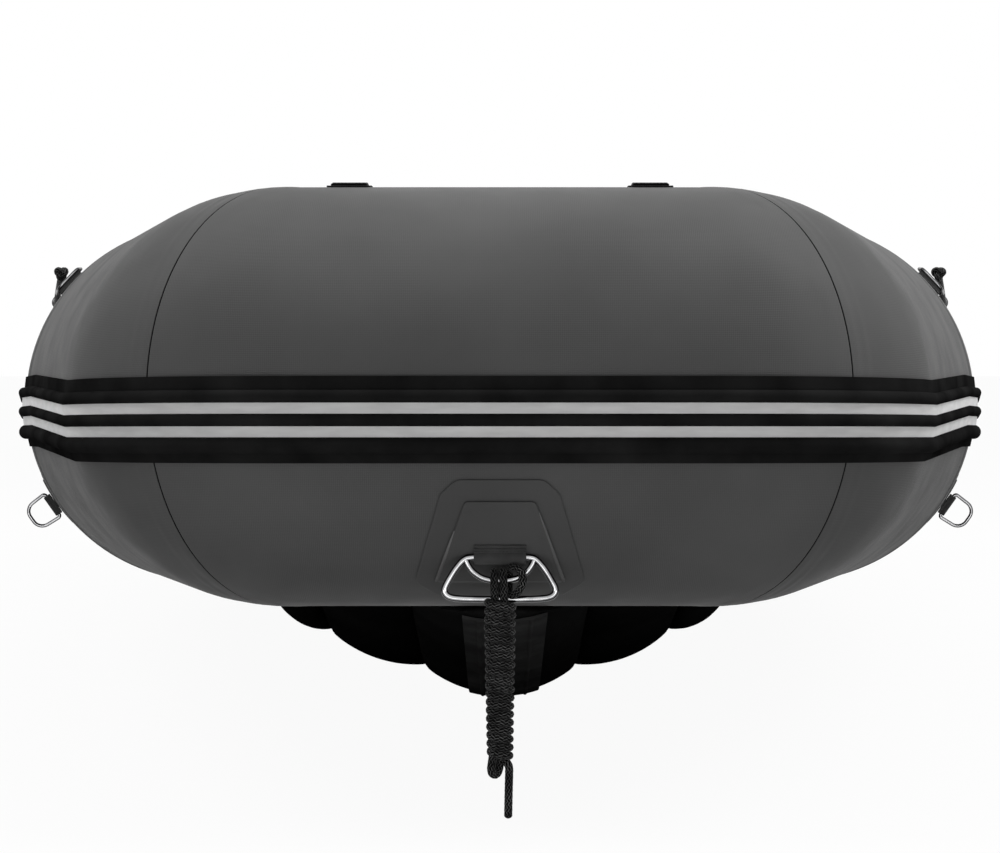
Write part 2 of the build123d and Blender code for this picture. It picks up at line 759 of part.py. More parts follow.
# Low rings on the bow quarters, standing straight out
frame = side_frame(quarter_y, quarter_around)
patch = on_skin(frame, RectangleRounded(quarter_patch_l, quarter_patch_w, line_patch_round),
                seat_gap, line_patch_t)
base = 2 * seat_gap + line_patch_t
bar_h = base + keeper_t + quarter_wire_r + keeper_play
roll = Pos(0, 0, tube_r + bar_h) * Rot(90, 0, 0) * (
    Cylinder(quarter_wire_r + keeper_play + keeper_t, quarter_keeper_w)
    - Cylinder(quarter_wire_r + keeper_play, quarter_keeper_w))
keeper = frame * above_skin(roll, base)
ring = frame * (Pos(0, 0, tube_r + bar_h) * Rot(0, 0, 90) * wire_ring(
    [(-quarter_half, 0), (quarter_half, 0), (quarter_half * quarter_taper, quarter_l),
     (-quarter_half * quarter_taper, quarter_l)],
    [quarter_top, quarter_top, quarter_low, quarter_low], quarter_wire_r))
parts["quarter_patch"] = both_sides(patch)
parts["quarter_keeper"] = both_sides(keeper)
parts["quarter_ring"] = both_sides(ring)

# Valves: one in each side tube, one in the bow and one in the floor


def valve_at(frame):
    flange = Pos(0, 0, tube_r - valve_sink) * Cylinder(
        valve_flange_r, valve_sink + valve_flange_t, align=upright_from)
    cap = Pos(0, 0, tube_r + valve_flange_t - valve_seat) * Cylinder(
        valve_cap_r, valve_cap_h + valve_seat, align=upright_from)
    cap = chamfer(cap.edges().group_by(Axis.Z)[-1], valve_edge)
    return frame * above_skin(flange + cap, seat_gap)


side_valve = valve_at(side_frame(valve_y, valve_around))
parts["valve"] = both_sides(side_valve) + [valve_at(bow_frame(0, valve_around))]

# Drain sockets through the transom
downwards = (Align.CENTER, Align.CENTER, Align.MAX)
socket = Cylinder(drain_r - seat_gap, transom_t, align=upright_from)
flange = Cylinder(drain_r + drain_flange, drain_flange_t, align=downwards)
plug = Pos(0, 0, -drain_flange_t) * Cylinder(drain_r - plug_in, plug_h, align=downwards)
drain = Plane(origin=(drain_x, transom_y + transom_t + seat_gap, drain_z - stern_axis_z),
              x_dir=(1, 0, 0), z_dir=(0, -1, 0)) * (socket + flange + plug)
parts["drain"] = both_sides(drain)

# Stern handles
arch = Polyline((-handle_foot, 0), (-handle_top, stern_handle_h), (handle_top, stern_handle_h),
                (handle_foot, 0), close=True)
hollow_foot, hollow_top = handle_foot - grip_foot_in, handle_top - grip_top_in
under = Polyline((-hollow_foot, 0), (-hollow_top, stern_handle_h - grip_t),
                 (hollow_top, stern_handle_h - grip_t), (hollow_foot, 0), close=True)
arch_face = make_face(arch) - make_face(under)
grip = extrude(Plane.XZ * arch_face, amount=grip_half, both=True)
grip = fillet(grip.edges().filter_by(Axis.Y), grip_round)
grip = Pos(0, 0, tube_r - grip_sink) * grip
tab = Box(tab_l, tab_w, tab_t)
tab_x = handle_foot + tab_out
tabs = Pos(0, 0, tube_r) * (Pos(-tab_x, 0) * tab + Pos(tab_x, 0) * tab)
stern_handle = side_frame(stern_handle_y, stern_handle_around) * above_skin(grip + tabs, seat_gap)
parts["stern_handle"] = both_sides(stern_handle)

# Lifeline along each side, through the rings and slack between them


def cord_tube(points, radius, tightest):
    """Straight runs joined by arcs as large as the runs allow."""
    radii = []
    for before, at, after in zip(points, points[1:], points[2:]):
        turn = (at - before).get_angle(after - at)
        shorter = min((at - before).length, (after - at).length)
        radii.append(max(0.45 * shorter / tan(radians(turn / 2)), tightest))
    path = FilletPolyline(*points, radius=radii)
    tube = sweep(Plane(origin=path @ 0, z_dir=path % 0) * Circle(radius), path=path)
    print("cord length", round(path.length, 1), "radii", [round(r, 1) for r in radii],
          "volume ratio", round(tube.volume / (path.length * pi * radius ** 2), 4))
    return tube, path.length


line_points = []
line_stops = [distance_y for stem, distance_y, lean in stations]
line_stops[0] += line_offset
for near, next_y in zip(line_stops, line_stops[1:]):
    steps = max(4, round((next_y - near) / line_step))
    for step in range(steps):
        share = step / steps
        droop = 4 * share * (1 - share)
        place = side_frame(near + (next_y - near) * share, line_around - line_droop * droop)
        height = tube_r + line_lift - line_settle * droop
        line_points.append((place * Location((0, 0, height))).position)
line_ends = [(0, line_around, line_lift), (line_tail, line_around - line_end_turn, line_lift - line_end_drop)]
for beyond, around, height in line_ends:
    place = side_frame(line_stops[-1] + beyond, around)
    line_points.append((place * Location((0, 0, tube_r + height))).position)
lifeline, line_length = cord_tube(line_points, line_r, 3 * line_r)
parts["lifeline"] = both_sides(lifeline)
knots = []
for end, inside in ((line_points[0], line_points[1]), (line_points[-1], line_points[-2])):
    place = Pos(*(end + (end - inside).normalized() * (line_knot_r + seat_gap)))
    knots += both_sides(place * Sphere(line_knot_r))
parts["lifeline_knot"] = knots

# Painter: strands over the ring's curved bar, a wrapped hank, a fold and the hanging end
# heights and distances are from the bow tube's axis
rope_at = Pos(0, bow_axis.Y, bow_axis.Z)
bar_y = -(tube_r + tow_bar_h) * cos(radians(tow_bar_around))
bar_z = (tube_r + tow_bar_h) * sin(radians(tow_bar_around)) - tow_sag
wrap = tow_wire_r + rope_r + strand_play
hank_y = bar_y - hank_ahead
hank_top_z = bar_z - strand_drop
hank_low_z = hank_top_z - hank_len
strands = []
for x in strand_x:
    points = [Vector(x, bar_y - wrap, hank_top_z), Vector(x, bar_y - wrap, bar_z + wrap),
              Vector(x, bar_y + wrap, bar_z + wrap), Vector(x, bar_y + wrap, hank_top_z)]
    path = FilletPolyline(*points, radius=wrap - strand_round_play)
    strand = sweep(Plane(origin=path @ 0, z_dir=path % 0) * Circle(rope_r), path=path)
    print("strand length", round(path.length, 1))
    strands.append(rope_at * strand)
parts["rope_loops"] = strands
hank = Cone(hank_low_r, hank_top_r, hank_top_z - hank_low_z,
            align=(Align.CENTER, Align.CENTER, Align.MIN))
hank = chamfer(hank.edges(), hank_edge)
parts["rope_hank"] = [rope_at * Pos(0, hank_y, hank_low_z) * hank]
fold = FilletPolyline(
    (fold_x, hank_y - fold_ahead, hank_low_z), (fold_x, hank_y - fold_ahead, hank_low_z - fold_drop),
    (fold_back_x, hank_y + fold_back, hank_low_z - fold_drop), (fold_back_x, hank_y + fold_back, hank_low_z),
    radius=fold_r)
fold_tube = sweep(Plane(origin=fold @ 0, z_dir=fold % 0) * Circle(rope_r), path=fold)
parts["rope_fold"] = [rope_at * fold_tube]
tail = Pos(tail_x, hank_y - tail_ahead, hank_low_z) * Cylinder(rope_r, tail_len, align=downwards)
parts["rope_tail"] = [rope_at * tail]

# Everything stands on the ground, its footprint centred on the origin
cords = ("rope_loops", "rope_hank", "rope_fold", "rope_tail")
loose = [piece for name in parts for piece in parts[name] if name not in cords]
box = Compound([solid for piece in loose for solid in piece.solids()]).bounding_box()
world = Pos(0, -(box.min.Y + box.max.Y) / 2, stern_axis_z)
for name, pieces in parts.items():
    solids = [world * solid for piece in pieces for solid in piece.solids()]
    export_step(Compound(solids), f"parts/{name}.step")
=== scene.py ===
import math

import bmesh
import bpy
import numpy as np
from mathutils import Matrix, Vector, noise
from mathutils.bvhtree import BVHTree

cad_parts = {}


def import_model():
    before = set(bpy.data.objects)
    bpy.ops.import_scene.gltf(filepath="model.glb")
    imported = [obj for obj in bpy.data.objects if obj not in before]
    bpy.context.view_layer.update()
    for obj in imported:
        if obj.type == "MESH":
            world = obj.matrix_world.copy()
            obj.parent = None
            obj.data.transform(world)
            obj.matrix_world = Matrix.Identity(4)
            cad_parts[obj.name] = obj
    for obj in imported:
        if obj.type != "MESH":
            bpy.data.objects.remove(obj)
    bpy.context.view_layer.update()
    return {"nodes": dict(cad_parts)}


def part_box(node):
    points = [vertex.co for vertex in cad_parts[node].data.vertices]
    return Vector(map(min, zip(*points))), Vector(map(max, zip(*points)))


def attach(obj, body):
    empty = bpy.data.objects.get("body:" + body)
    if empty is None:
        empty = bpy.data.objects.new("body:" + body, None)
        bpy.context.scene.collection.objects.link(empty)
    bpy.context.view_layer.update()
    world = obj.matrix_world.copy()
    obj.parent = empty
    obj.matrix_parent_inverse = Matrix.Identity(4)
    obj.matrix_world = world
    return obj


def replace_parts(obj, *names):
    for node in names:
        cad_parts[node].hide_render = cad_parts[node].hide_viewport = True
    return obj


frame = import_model()

# Layout of the boat in metres and degrees, as in the part's source
TUBE_R = 0.215
BOW_HALF = 0.200
CORNER_R = 0.034
CORNER_DEG = 73.6
SEAM_DEG = 33.7
SHOULDER_LEN = 0.430
GORE_LEN = 0.565
GORE_COUNT = 3
LIFT_Y = 1.850
LIFT_DEG = 1.97
AXIS_Z = 0.346
CONE_Y = 2.700
CONE_LEN = 0.330
CONE_END_R = 0.118
LIFT_TAN = math.tan(math.radians(LIFT_DEG / 2))
# The tilted bow axis lies this far aft of the plan's zero
BOW_SET_BACK = LIFT_Y * (1 - math.cos(math.radians(LIFT_DEG)))
SHIFT_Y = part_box("tube_bow")[0].y + TUBE_R - BOW_SET_BACK

# Camera of the photograph: distance ahead of the bow axis, height, focal length and horizon in pixels
PHOTO_W = 1000
PHOTO_H = 853
CAMERA_AHEAD = 2.5
CAMERA_Z = 0.4566
FOCAL_PX = 2427.0
HORIZON_ROW = 351.1
SENSOR_MM = 36.0

# Points round a tube, and the rows' spacing away from its seams
AROUND = 144
SKIN_ANGLES = [math.tau * k / AROUND for k in range(AROUND)]
SKIN_STEP = 0.04
GLUE_W = 0.0016
TAPE_T = 0.0008
ROPE_R = 0.004
BRAID_STRANDS = 8
# Rows' spacing along a rope and points round it: the painter, the lifeline, a knot
PAINTER_MESH = (0.0009, 28)
LINE_MESH = (0.0014, 20)
KNOT_MESH = (0.0009, 20)
# The fittings' pieces lie this far apart
GAP = 0.0003


def half_turn(angle):
    """The same angle on the circle, for one from 0 to a whole turn, but measured both ways from 0."""
    return angle if angle <= math.pi else angle - math.tau


def heading(deg):
    return Vector((math.cos(math.radians(deg)), math.sin(math.radians(deg)), 0))


def outward(deg):
    return Vector((math.sin(math.radians(deg)), -math.cos(math.radians(deg)), 0))


def world(point):
    """A point of the flat plan, its z from the tube axis, in the row frame: the bow part is tilted up."""
    x, y, z = point
    if y <= LIFT_Y - z * LIFT_TAN + 1e-7:
        turn = math.radians(-LIFT_DEG)
        dy = y - LIFT_Y
        y = LIFT_Y + dy * math.cos(turn) - z * math.sin(turn)
        z = dy * math.sin(turn) + z * math.cos(turn)
    return Vector((x, y + SHIFT_Y, z + AXIS_Z))


def world_normal(normal, plan_y):
    if plan_y < LIFT_Y:
        return Matrix.Rotation(math.radians(-LIFT_DEG), 3, "X") @ normal
    return normal


corner_centre = Vector((BOW_HALF, CORNER_R, 0))
crease_deg = CORNER_DEG / 2
gore_deg = (90.0 - CORNER_DEG) / GORE_COUNT


def side_gores():
    """Start, heading and length of each straight gore on the starboard side, and the last mitre's place."""
    laid = []
    spot = corner_centre + outward(CORNER_DEG) * CORNER_R
    for index in range(GORE_COUNT):
        turn = CORNER_DEG + gore_deg * index
        length = SHOULDER_LEN if index == 0 else GORE_LEN
        laid.append((spot, turn, length))
        spot = spot + heading(turn) * length
    return laid, spot


gores, last_mitre = side_gores()
HALF_BEAM = last_mitre.x
bow_axis = world((0, 0, 0))


def axis_at(plan_y):
    """Axis point and heading of the starboard tube at a distance aft."""
    if plan_y >= last_mitre.y:
        return Vector((HALF_BEAM, plan_y, 0)), 90.0
    start, turn = gores[0][:2]
    for candidate in gores:
        if plan_y >= candidate[0].y:
            start, turn = candidate[:2]
    return start + heading(turn) * ((plan_y - start.y) / heading(turn).y), turn


def side_frame(plan_y, around):
    """Frame on the starboard tube's axis: x aft along the tube, z out through the skin."""
    axis, turn = axis_at(plan_y)
    a = math.radians(around)
    out = world_normal(outward(turn) * math.cos(a) + Vector((0, 0, math.sin(a))), plan_y)
    aft = world_normal(heading(turn), plan_y)
    return frame_of(world(axis), aft, out)


def bow_frame(across, around):
    """Frame on the bow tube's axis: x to starboard, z out through the skin."""
    a = math.radians(around)
    out = world_normal(Vector((0, -math.cos(a), math.sin(a))), 0)
    return frame_of(world((across, 0, 0)), Vector((1, 0, 0)), out)


def frame_of(origin, x_axis, z_axis):
    y_axis = z_axis.cross(x_axis)
    matrix = Matrix((x_axis, y_axis, z_axis)).transposed().to_4x4()
    matrix.translation = origin
    return matrix


# Meshes


def new_object(name, made, material, sharp_deg=40.0):
    """A mesh piece of the hull. made is its points, faces and a pair of cloth coordinates for each point."""
    verts, faces, uvs = made
    mesh = bpy.data.meshes.new(name)
    mesh.from_pydata([tuple(v) for v in verts], [], faces)
    layer = mesh.uv_layers.new(name="cloth")
    corner_verts = np.zeros(len(mesh.loops), np.int32)
    mesh.loops.foreach_get("vertex_index", corner_verts)
    layer.data.foreach_set("uv", np.array(uvs, np.float32)[corner_verts].ravel())
    mesh.materials.append(material)
    obj = bpy.data.objects.new(name, mesh)
    bpy.context.scene.collection.objects.link(obj)
    clean_up(obj)
    mesh.shade_smooth()
    if sharp_deg:
        mesh.set_sharp_from_angle(angle=math.radians(sharp_deg))
    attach(obj, "hull")
    return obj


def piece(name, node, made, material, sharp_deg=40.0):
    """A mesh piece that stands in a node's place."""
    obj = new_object(name, made, material, sharp_deg)
    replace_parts(obj, node)
    return obj


def pair(name, node, made, material):
    """One piece on the starboard side and its mirror image on the port side."""
    verts, faces, uvs = made
    piece(name + "_stbd", node, made, material)
    piece(name + "_port", node, (mirrored(verts), faces, uvs), material)


def clean_up(obj):
    """Joins points that fall together, drops empty faces and turns the rest outwards."""
    made = bmesh.new()
    made.from_mesh(obj.data)
    bmesh.ops.remove_doubles(made, verts=made.verts, dist=1e-6)
    bmesh.ops.dissolve_degenerate(made, edges=made.edges, dist=1e-7)
    bmesh.ops.recalc_face_normals(made, faces=made.faces)
    made.to_mesh(obj.data)
    made.free()


def grid_faces(rows, columns, closed_columns=False, closed_rows=False):
    faces = []
    for i in range(rows if closed_rows else rows - 1):
        for j in range(columns if closed_columns else columns - 1):
            a, b = i * columns + j, i * columns + (j + 1) % columns
            c = (i + 1) % rows * columns
            faces.append((a, b, c + (j + 1) % columns, c + j))
    return faces


def rod_faces(rows, around):
    """Faces of a rod made of rings of points, both ends closed."""
    ends = [tuple(range(around)), tuple(range((rows - 1) * around, rows * around))]
    return grid_faces(rows, around, closed_columns=True) + ends


def flat(rows):
    return [value for row in rows for value in row]


def mirrored(verts):
    return [Vector((-v[0], v[1], v[2])) for v in verts]


# Materials


class Tree:
    """Helpers for the nodes of one tree."""

    def __init__(self, tree):
        self.nodes = tree.nodes
        self.links = tree.links

    def node(self, kind, links=(), **values):
        made = self.nodes.new(kind)
        for key, value in values.items():
            if key in made.inputs:
                made.inputs[key].default_value = value
            else:
                setattr(made, key, value)
        for name, socket in dict(links).items():
            self.links.new(socket, made.inputs[name])
        return made

    def maths(self, operation, a, b=None):
        made = self.node("ShaderNodeMath", operation=operation)
        for index, value in enumerate((a, b)):
            if value is None:
                continue
            if isinstance(value, (int, float)):
                made.inputs[index].default_value = value
            else:
                self.links.new(value, made.inputs[index])
        return made.outputs[0]

    def ramp(self, factor, low, high, start=0.3, end=0.7):
        made = self.node("ShaderNodeValToRGB", {"Fac": factor})
        made.color_ramp.elements[0].position = start
        made.color_ramp.elements[1].position = end
        made.color_ramp.elements[0].color = (*low, 1)
        made.color_ramp.elements[1].color = (*high, 1)
        return made.outputs["Color"]

    def mix(self, factor, low, high):
        """Output of two shaders mixed by a factor."""
        made = self.node("ShaderNodeMixShader")
        for index, socket in enumerate((factor, low.outputs[0], high.outputs[0])):
            self.links.new(socket, made.inputs[index])
        return made.outputs[0]


class Shade(Tree):
    """A Principled material with helpers for its textures."""

    def __init__(self, name, colour, roughness, metallic=0.0, specular=0.5):
        self.material = bpy.data.materials.new(name)
        self.material.use_nodes = True
        super().__init__(self.material.node_tree)
        self.shader = self.nodes["Principled BSDF"]
        self.shader.inputs["Base Color"].default_value = (*colour, 1)
        self.shader.inputs["Roughness"].default_value = roughness
        self.shader.inputs["Metallic"].default_value = metallic
        self.shader.inputs["Specular IOR Level"].default_value = specular
        self.height = None

    def coords(self, kind):
        return self.node("ShaderNodeTexCoord").outputs[kind]

    def noise(self, coords, scale, detail=3.0, stretch=(1, 1, 1)):
        mapped = self.node("ShaderNodeMapping", {"Vector": coords}, Scale=stretch)
        made = self.node("ShaderNodeTexNoise", {"Vector": mapped.outputs[0]}, Scale=scale, Detail=detail)
        return made.outputs["Fac"]

    def weave(self, coords, pitch, turn_deg=45.0):
        """Height of a plain weave, from -1 to 1, on coordinates in metres."""
        k = math.tau / pitch
        mapped = self.node("ShaderNodeMapping", {"Vector": coords}, Scale=(k, k, k),
                           Rotation=(0, 0, math.radians(turn_deg)))
        split = self.node("ShaderNodeSeparateXYZ", {"Vector": mapped.outputs[0]})
        across = self.maths("SINE", split.outputs["X"])
        along = self.maths("SINE", split.outputs["Y"])
        return self.maths("MULTIPLY", across, along)

    def between(self, factor, low, high, start=0.3, end=0.7):
        made = self.node("ShaderNodeMapRange", {"Value": factor})
        made.inputs["From Min"].default_value = start
        made.inputs["From Max"].default_value = end
        made.inputs["To Min"].default_value = low
        made.inputs["To Max"].default_value = high
        return made.outputs[0]

    def raise_by(self, value, amount):
        """Adds a share of a height, in metres, to the surface's bump."""
        scaled = self.maths("MULTIPLY", value, amount)
        self.height = scaled if self.height is None else self.maths("ADD", self.height, scaled)

    def finish(self):
        if self.height is not None:
            bump = self.node("ShaderNodeBump", {"Height": self.height}, Strength=1.0, Distance=1.0)
            self.links.new(bump.outputs[0], self.shader.inputs["Normal"])
        return self.material

    def colour(self, socket):
        self.links.new(socket, self.shader.inputs["Base Color"])

    def rough(self, socket):
        self.links.new(socket, self.shader.inputs["Roughness"])


def grey(value):
    """Linear grey for a value from 0 to 255 as it is seen."""
    v = value / 255
    return (((v + 0.055) / 1.055) ** 2.4 if v > 0.04045 else v / 12.92,) * 3


def coated_fabric(name, low, high, pitch, weave_depth, roughness, specular=0.02):
    """PVC-coated cloth: a fine diagonal weave under a satin coat, slightly cloudy."""
    s = Shade(name, grey(low), roughness, specular=specular)
    cloth = s.coords("UV")
    place = s.coords("Object")
    cloud = s.noise(place, 5.0, 4.0)
    threads = s.weave(cloth, pitch)
    patches = s.between(s.noise(place, 9.0, 2.0), 0.35, 1.0, 0.4, 0.62)
    shown = s.maths("MULTIPLY", threads, patches)
    mixed = s.maths("ADD", s.maths("MULTIPLY", cloud, 0.75), s.maths("MULTIPLY", shown, 0.16))
    s.colour(s.ramp(mixed, grey(low), grey(high), 0.2, 0.62))
    s.rough(s.between(s.noise(place, 22.0, 4.0), roughness - 0.05, roughness + 0.07))
    s.raise_by(shown, weave_depth)
    s.raise_by(s.noise(place, 7.0, 2.0), 0.0006)
    s.raise_by(s.noise(place, 900.0, 2.0), 0.00001)
    return s.finish()


def rubber(name, low, high, roughness, specular=0.0, grain=0.00006):
    s = Shade(name, grey(low), roughness, specular=specular)
    place = s.coords("Object")
    dust = s.noise(place, 14.0, 5.0)
    s.colour(s.ramp(dust, grey(low), grey(high), 0.35, 0.75))
    s.rough(s.between(s.noise(place, 60.0, 3.0), roughness - 0.08, roughness + 0.1))
    s.raise_by(s.noise(place, 700.0, 3.0), 0.00003)
    s.raise_by(s.noise(place, 40.0, 3.0), grain)
    return s.finish()


def stripe_material():
    s = Shade("stripe_pvc", grey(222), 0.42, specular=0.1)
    place = s.coords("Object")
    mottled = s.noise(place, 30.0, 4.0, (1, 1, 5))
    s.colour(s.ramp(mottled, grey(214), grey(230)))
    s.rough(s.between(s.noise(place, 50.0, 3.0), 0.36, 0.5))
    s.raise_by(s.noise(place, 350.0, 2.0, (0.1, 0.1, 1.5)), 0.00003)
    return s.finish()


def polished_steel():
    s = Shade("polished_steel", (0.5, 0.5, 0.51), 0.14, metallic=1.0)
    place = s.coords("Object")
    smear = s.noise(place, 45.0, 4.0)
    s.rough(s.between(smear, 0.06, 0.2))
    # Painted reflection: the base colour is bright where the wire faces the camera and dark towards its rims,
    # streaked by noise
    rim = s.node("ShaderNodeLayerWeight", Blend=0.5).outputs["Facing"]
    painted_reflection = s.maths("ADD", rim, s.maths("MULTIPLY", s.noise(place, 60.0, 2.0), 0.3))
    s.colour(s.ramp(painted_reflection, (0.55, 0.55, 0.56), (0.02, 0.02, 0.021), 0.14, 0.36))
    s.raise_by(s.noise(place, 1500.0, 2.0, (1, 1, 0.2)), 0.000004)
    return s.finish()


def rope_material():
    """Black braided polypropylene: the strands are in the mesh, their fibres here, with a painted highlight on
    each strand's crest.
    """
    s = Shade("black_braid", grey(18), 0.5, specular=0.02)
    split = s.node("ShaderNodeSeparateXYZ", {"Vector": s.coords("UV")})
    lay = math.tau * ROPE_R / BRAID_STRANDS
    along = s.maths("MULTIPLY", split.outputs["X"], 0.5 / lay)
    round_it = s.maths("MULTIPLY", split.outputs["Y"], 1 / lay)
    right = s.maths("ADD", round_it, along)
    left = s.maths("SUBTRACT", round_it, along)
    cell = s.maths("ADD", s.maths("FLOOR", right), s.maths("FLOOR", left))
    under = s.maths("PINGPONG", cell, 1.0)
    streaks = []
    for across, beside in ((right, left), (left, right)):
        place = s.node("ShaderNodeCombineXYZ", {"X": across, "Y": beside})
        streaks.append(s.noise(place.outputs[0], 1.0, 2.0, (9, 0.8, 1)))
    turned = s.maths("MULTIPLY", s.maths("SUBTRACT", streaks[1], streaks[0]), under)
    fibres = s.maths("ADD", streaks[0], turned)
    crests = []
    for across in (right, left):
        crests.append(s.maths("PINGPONG", s.maths("MULTIPLY", s.maths("FRACT", across), 2.0), 1.0))
    crest = s.maths("ADD", crests[0], s.maths("MULTIPLY", s.maths("SUBTRACT", crests[1], crests[0]), under))
    # Painted highlight: the colour rises from near black to light grey on the crest of each strand that lies
    # over, streaked by the fibres; the worn noise only varies that highlight's strength
    worn = s.noise(s.coords("Object"), 70.0, 2.0)
    shine = s.maths("MULTIPLY", s.maths("MULTIPLY", s.between(crest, 0.0, 1.0, 0.5, 0.95), fibres), worn)
    s.colour(s.ramp(shine, grey(5), grey(120), 0.04, 0.34))
    s.rough(s.between(fibres, 0.42, 0.66))
    s.raise_by(fibres, 0.00016)
    s.shader.inputs["Sheen Weight"].default_value = 0.1
    s.shader.inputs["Sheen Roughness"].default_value = 0.4
    return s.finish()


def webbing(name, low, high, pitch):
    """Woven strap: ribs across it and a thread grain along it."""
    s = Shade(name, grey(low), 0.62, specular=0.02)
    cloth = s.coords("UV")
    place = s.coords("Object")
    ribs = s.weave(cloth, pitch, 0.0)
    cloud = s.noise(place, 30.0, 4.0)
    mixed = s.maths("ADD", cloud, s.maths("MULTIPLY", ribs, 0.12))
    s.colour(s.ramp(mixed, grey(low), grey(high), 0.3, 0.7))
    s.raise_by(ribs, 0.0002)
    s.raise_by(s.noise(place, 500.0, 3.0), 0.00008)
    s.shader.inputs["Sheen Weight"].default_value = 0.08
    return s.finish()


def moulded_plastic(name, low, high, roughness):
    s = Shade(name, grey(low), roughness, specular=0.08)
    place = s.coords("Object")
    s.colour(s.ramp(s.noise(place, 25.0, 4.0), grey(low), grey(high)))
    s.rough(s.between(s.noise(place, 80.0, 3.0), roughness - 0.06, roughness + 0.08))
    s.raise_by(s.noise(place, 1200.0, 2.0), 0.00002)
    return s.finish()


def painted_board(name, low, high):
    """Plywood under paint: faint grain along X, roller stipple and worn spots."""
    s = Shade(name, grey(low), 0.45)
    place = s.coords("Object")
    grain = s.noise(place, 18.0, 5.0, (0.35, 1, 3))
    s.colour(s.ramp(grain, grey(low), grey(high), 0.35, 0.7))
    s.rough(s.between(s.noise(place, 35.0, 4.0), 0.36, 0.56))
    s.raise_by(grain, 0.00012)
    s.raise_by(s.noise(place, 600.0, 2.0), 0.00004)
    return s.finish()


TUBE = coated_fabric("tube_cloth", 84, 98, 0.0026, 0.00006, 0.5)
PATCH = coated_fabric("patch_cloth", 80, 92, 0.0016, 0.00002, 0.5)
FLOOR = coated_fabric("floor_cloth", 20, 38, 0.0026, 0.00008, 0.5, specular=0.0)
RUBBER = rubber("strake_rubber", 24, 40, 0.45)
GUARD = rubber("guard_rubber", 56, 80, 0.45, 0.0, 0.00002)
# Painted highlight: the pad's pressed ridges get a lighter grey than its cloth for the light they catch
RIDGE = rubber("pressed_ridge_highlight", 104, 122, 0.5, 0.0, 0.00002)
# Near-black seam line: partly the glue's own colour, partly painted shade for the groove at the front seams
GLUE_AND_SHADE = rubber("seam_glue_and_shade", 8, 14, 0.6)
STRIPE = stripe_material()
STEEL = polished_steel()
ROPE = rope_material()
BLACK_WEB = webbing("black_web", 16, 34, 0.0018)
GREY_WEB = webbing("grey_web", 62, 84, 0.0016)
PLASTIC = moulded_plastic("black_plastic", 20, 32, 0.42)
BOARD = painted_board("painted_board", 104, 118)
SEAT = painted_board("seat_paint", 122, 136)


# Air tubes: one skin for each panel, drawn along its generators


def bow_curve(phi, s):
    """Plan point and heading at a distance s from the boat's middle towards the front seam."""
    d = TUBE_R * math.cos(phi)
    z = TUBE_R * math.sin(phi)
    if d <= -CORNER_R or s <= BOW_HALF:
        return Vector((s, -d, z)), 0.0
    deg = math.degrees((s - BOW_HALF) / (CORNER_R + d))
    return corner_centre + outward(deg) * (CORNER_R + d) + Vector((0, 0, z)), deg


def bow_length(phi):
    d = TUBE_R * math.cos(phi)
    if d <= -CORNER_R:
        return BOW_HALF + (d + CORNER_R) * math.tan(math.radians(crease_deg))
    return BOW_HALF + (CORNER_R + d) * math.radians(SEAM_DEG)


def mitre_reach(phi, turn, turn_other):
    """How far past the axis's end a generator meets the mitre between two headings."""
    normal = (heading(turn) + heading(turn_other)).normalized()
    side = outward(turn).dot(normal) * TUBE_R * math.cos(phi)
    return -side / heading(turn).dot(normal)


def shoulder_curve(phi, s):
    """From the front seam round the rest of the corner and along the first gore."""
    d = TUBE_R * math.cos(phi)
    z = TUBE_R * math.sin(phi)
    start, turn = gores[0][:2]
    arc = max(CORNER_R + d, 0) * math.radians(CORNER_DEG - SEAM_DEG)
    if s < arc:
        deg = SEAM_DEG + math.degrees(s / (CORNER_R + d))
        return corner_centre + outward(deg) * (CORNER_R + d) + Vector((0, 0, z)), deg
    crease = max(-(d + CORNER_R), 0) * math.tan(math.radians(CORNER_DEG - crease_deg))
    point = start + outward(turn) * d + heading(turn) * (crease + s - arc)
    return point + Vector((0, 0, z)), turn


def shoulder_length(phi):
    d = TUBE_R * math.cos(phi)
    turn, length = gores[0][1:]
    arc = max(CORNER_R + d, 0) * math.radians(CORNER_DEG - SEAM_DEG)
    crease = max(-(d + CORNER_R), 0) * math.tan(math.radians(CORNER_DEG - crease_deg))
    return arc + length + mitre_reach(phi, turn, turn + gore_deg) - crease


def gore_curve(start, turn, length, last=False):
    """Curve and length of a straight gore between the mitres at its ends; the last one ends square."""

    def curve(phi, s):
        entry = mitre_reach(phi, turn, turn - gore_deg)
        side = outward(turn) * TUBE_R * math.cos(phi) + Vector((0, 0, TUBE_R * math.sin(phi)))
        return start + side + heading(turn) * (s + entry), turn

    def reach(phi):
        end = 0.0 if last else mitre_reach(phi, turn, turn + gore_deg)
        return length + end - mitre_reach(phi, turn, turn - gore_deg)

    return curve, reach


# Height of the skin near a seam, by distance from it
TAPE_EDGE = [(0.0, TAPE_T), (0.0188, TAPE_T), (0.0204, 0.0), (0.08, 0.0)]
# A cloth lap's end on the front panel, then the stacked strips beyond its glue line, whose near-black strip is
# also painted shade for the groove there
LAP_EDGE = [(0.0, -0.0012), (0.00005, 0.0004), (0.0006, 0.0008), (0.012, 0.0007), (0.03, 0.0), (0.08, 0.0)]
STRIP_EDGE = [(0.0, -0.0008), (GLUE_W, -0.0008), (GLUE_W + 0.0001, 0.0006), (0.0110, 0.0006),
              (0.0121, 0.0003), (0.0245, 0.0003), (0.0258, 0.0), (0.08, 0.0)]
# Distances from a seam at which the skin has a row of points
NEAR_SEAM = [0.0, 0.00005, 0.0006, 0.0016, 0.0017, 0.006, 0.011, 0.0121, 0.0188, 0.0204, 0.0245, 0.0258,
             0.031, 0.038, 0.047, 0.058, 0.072]


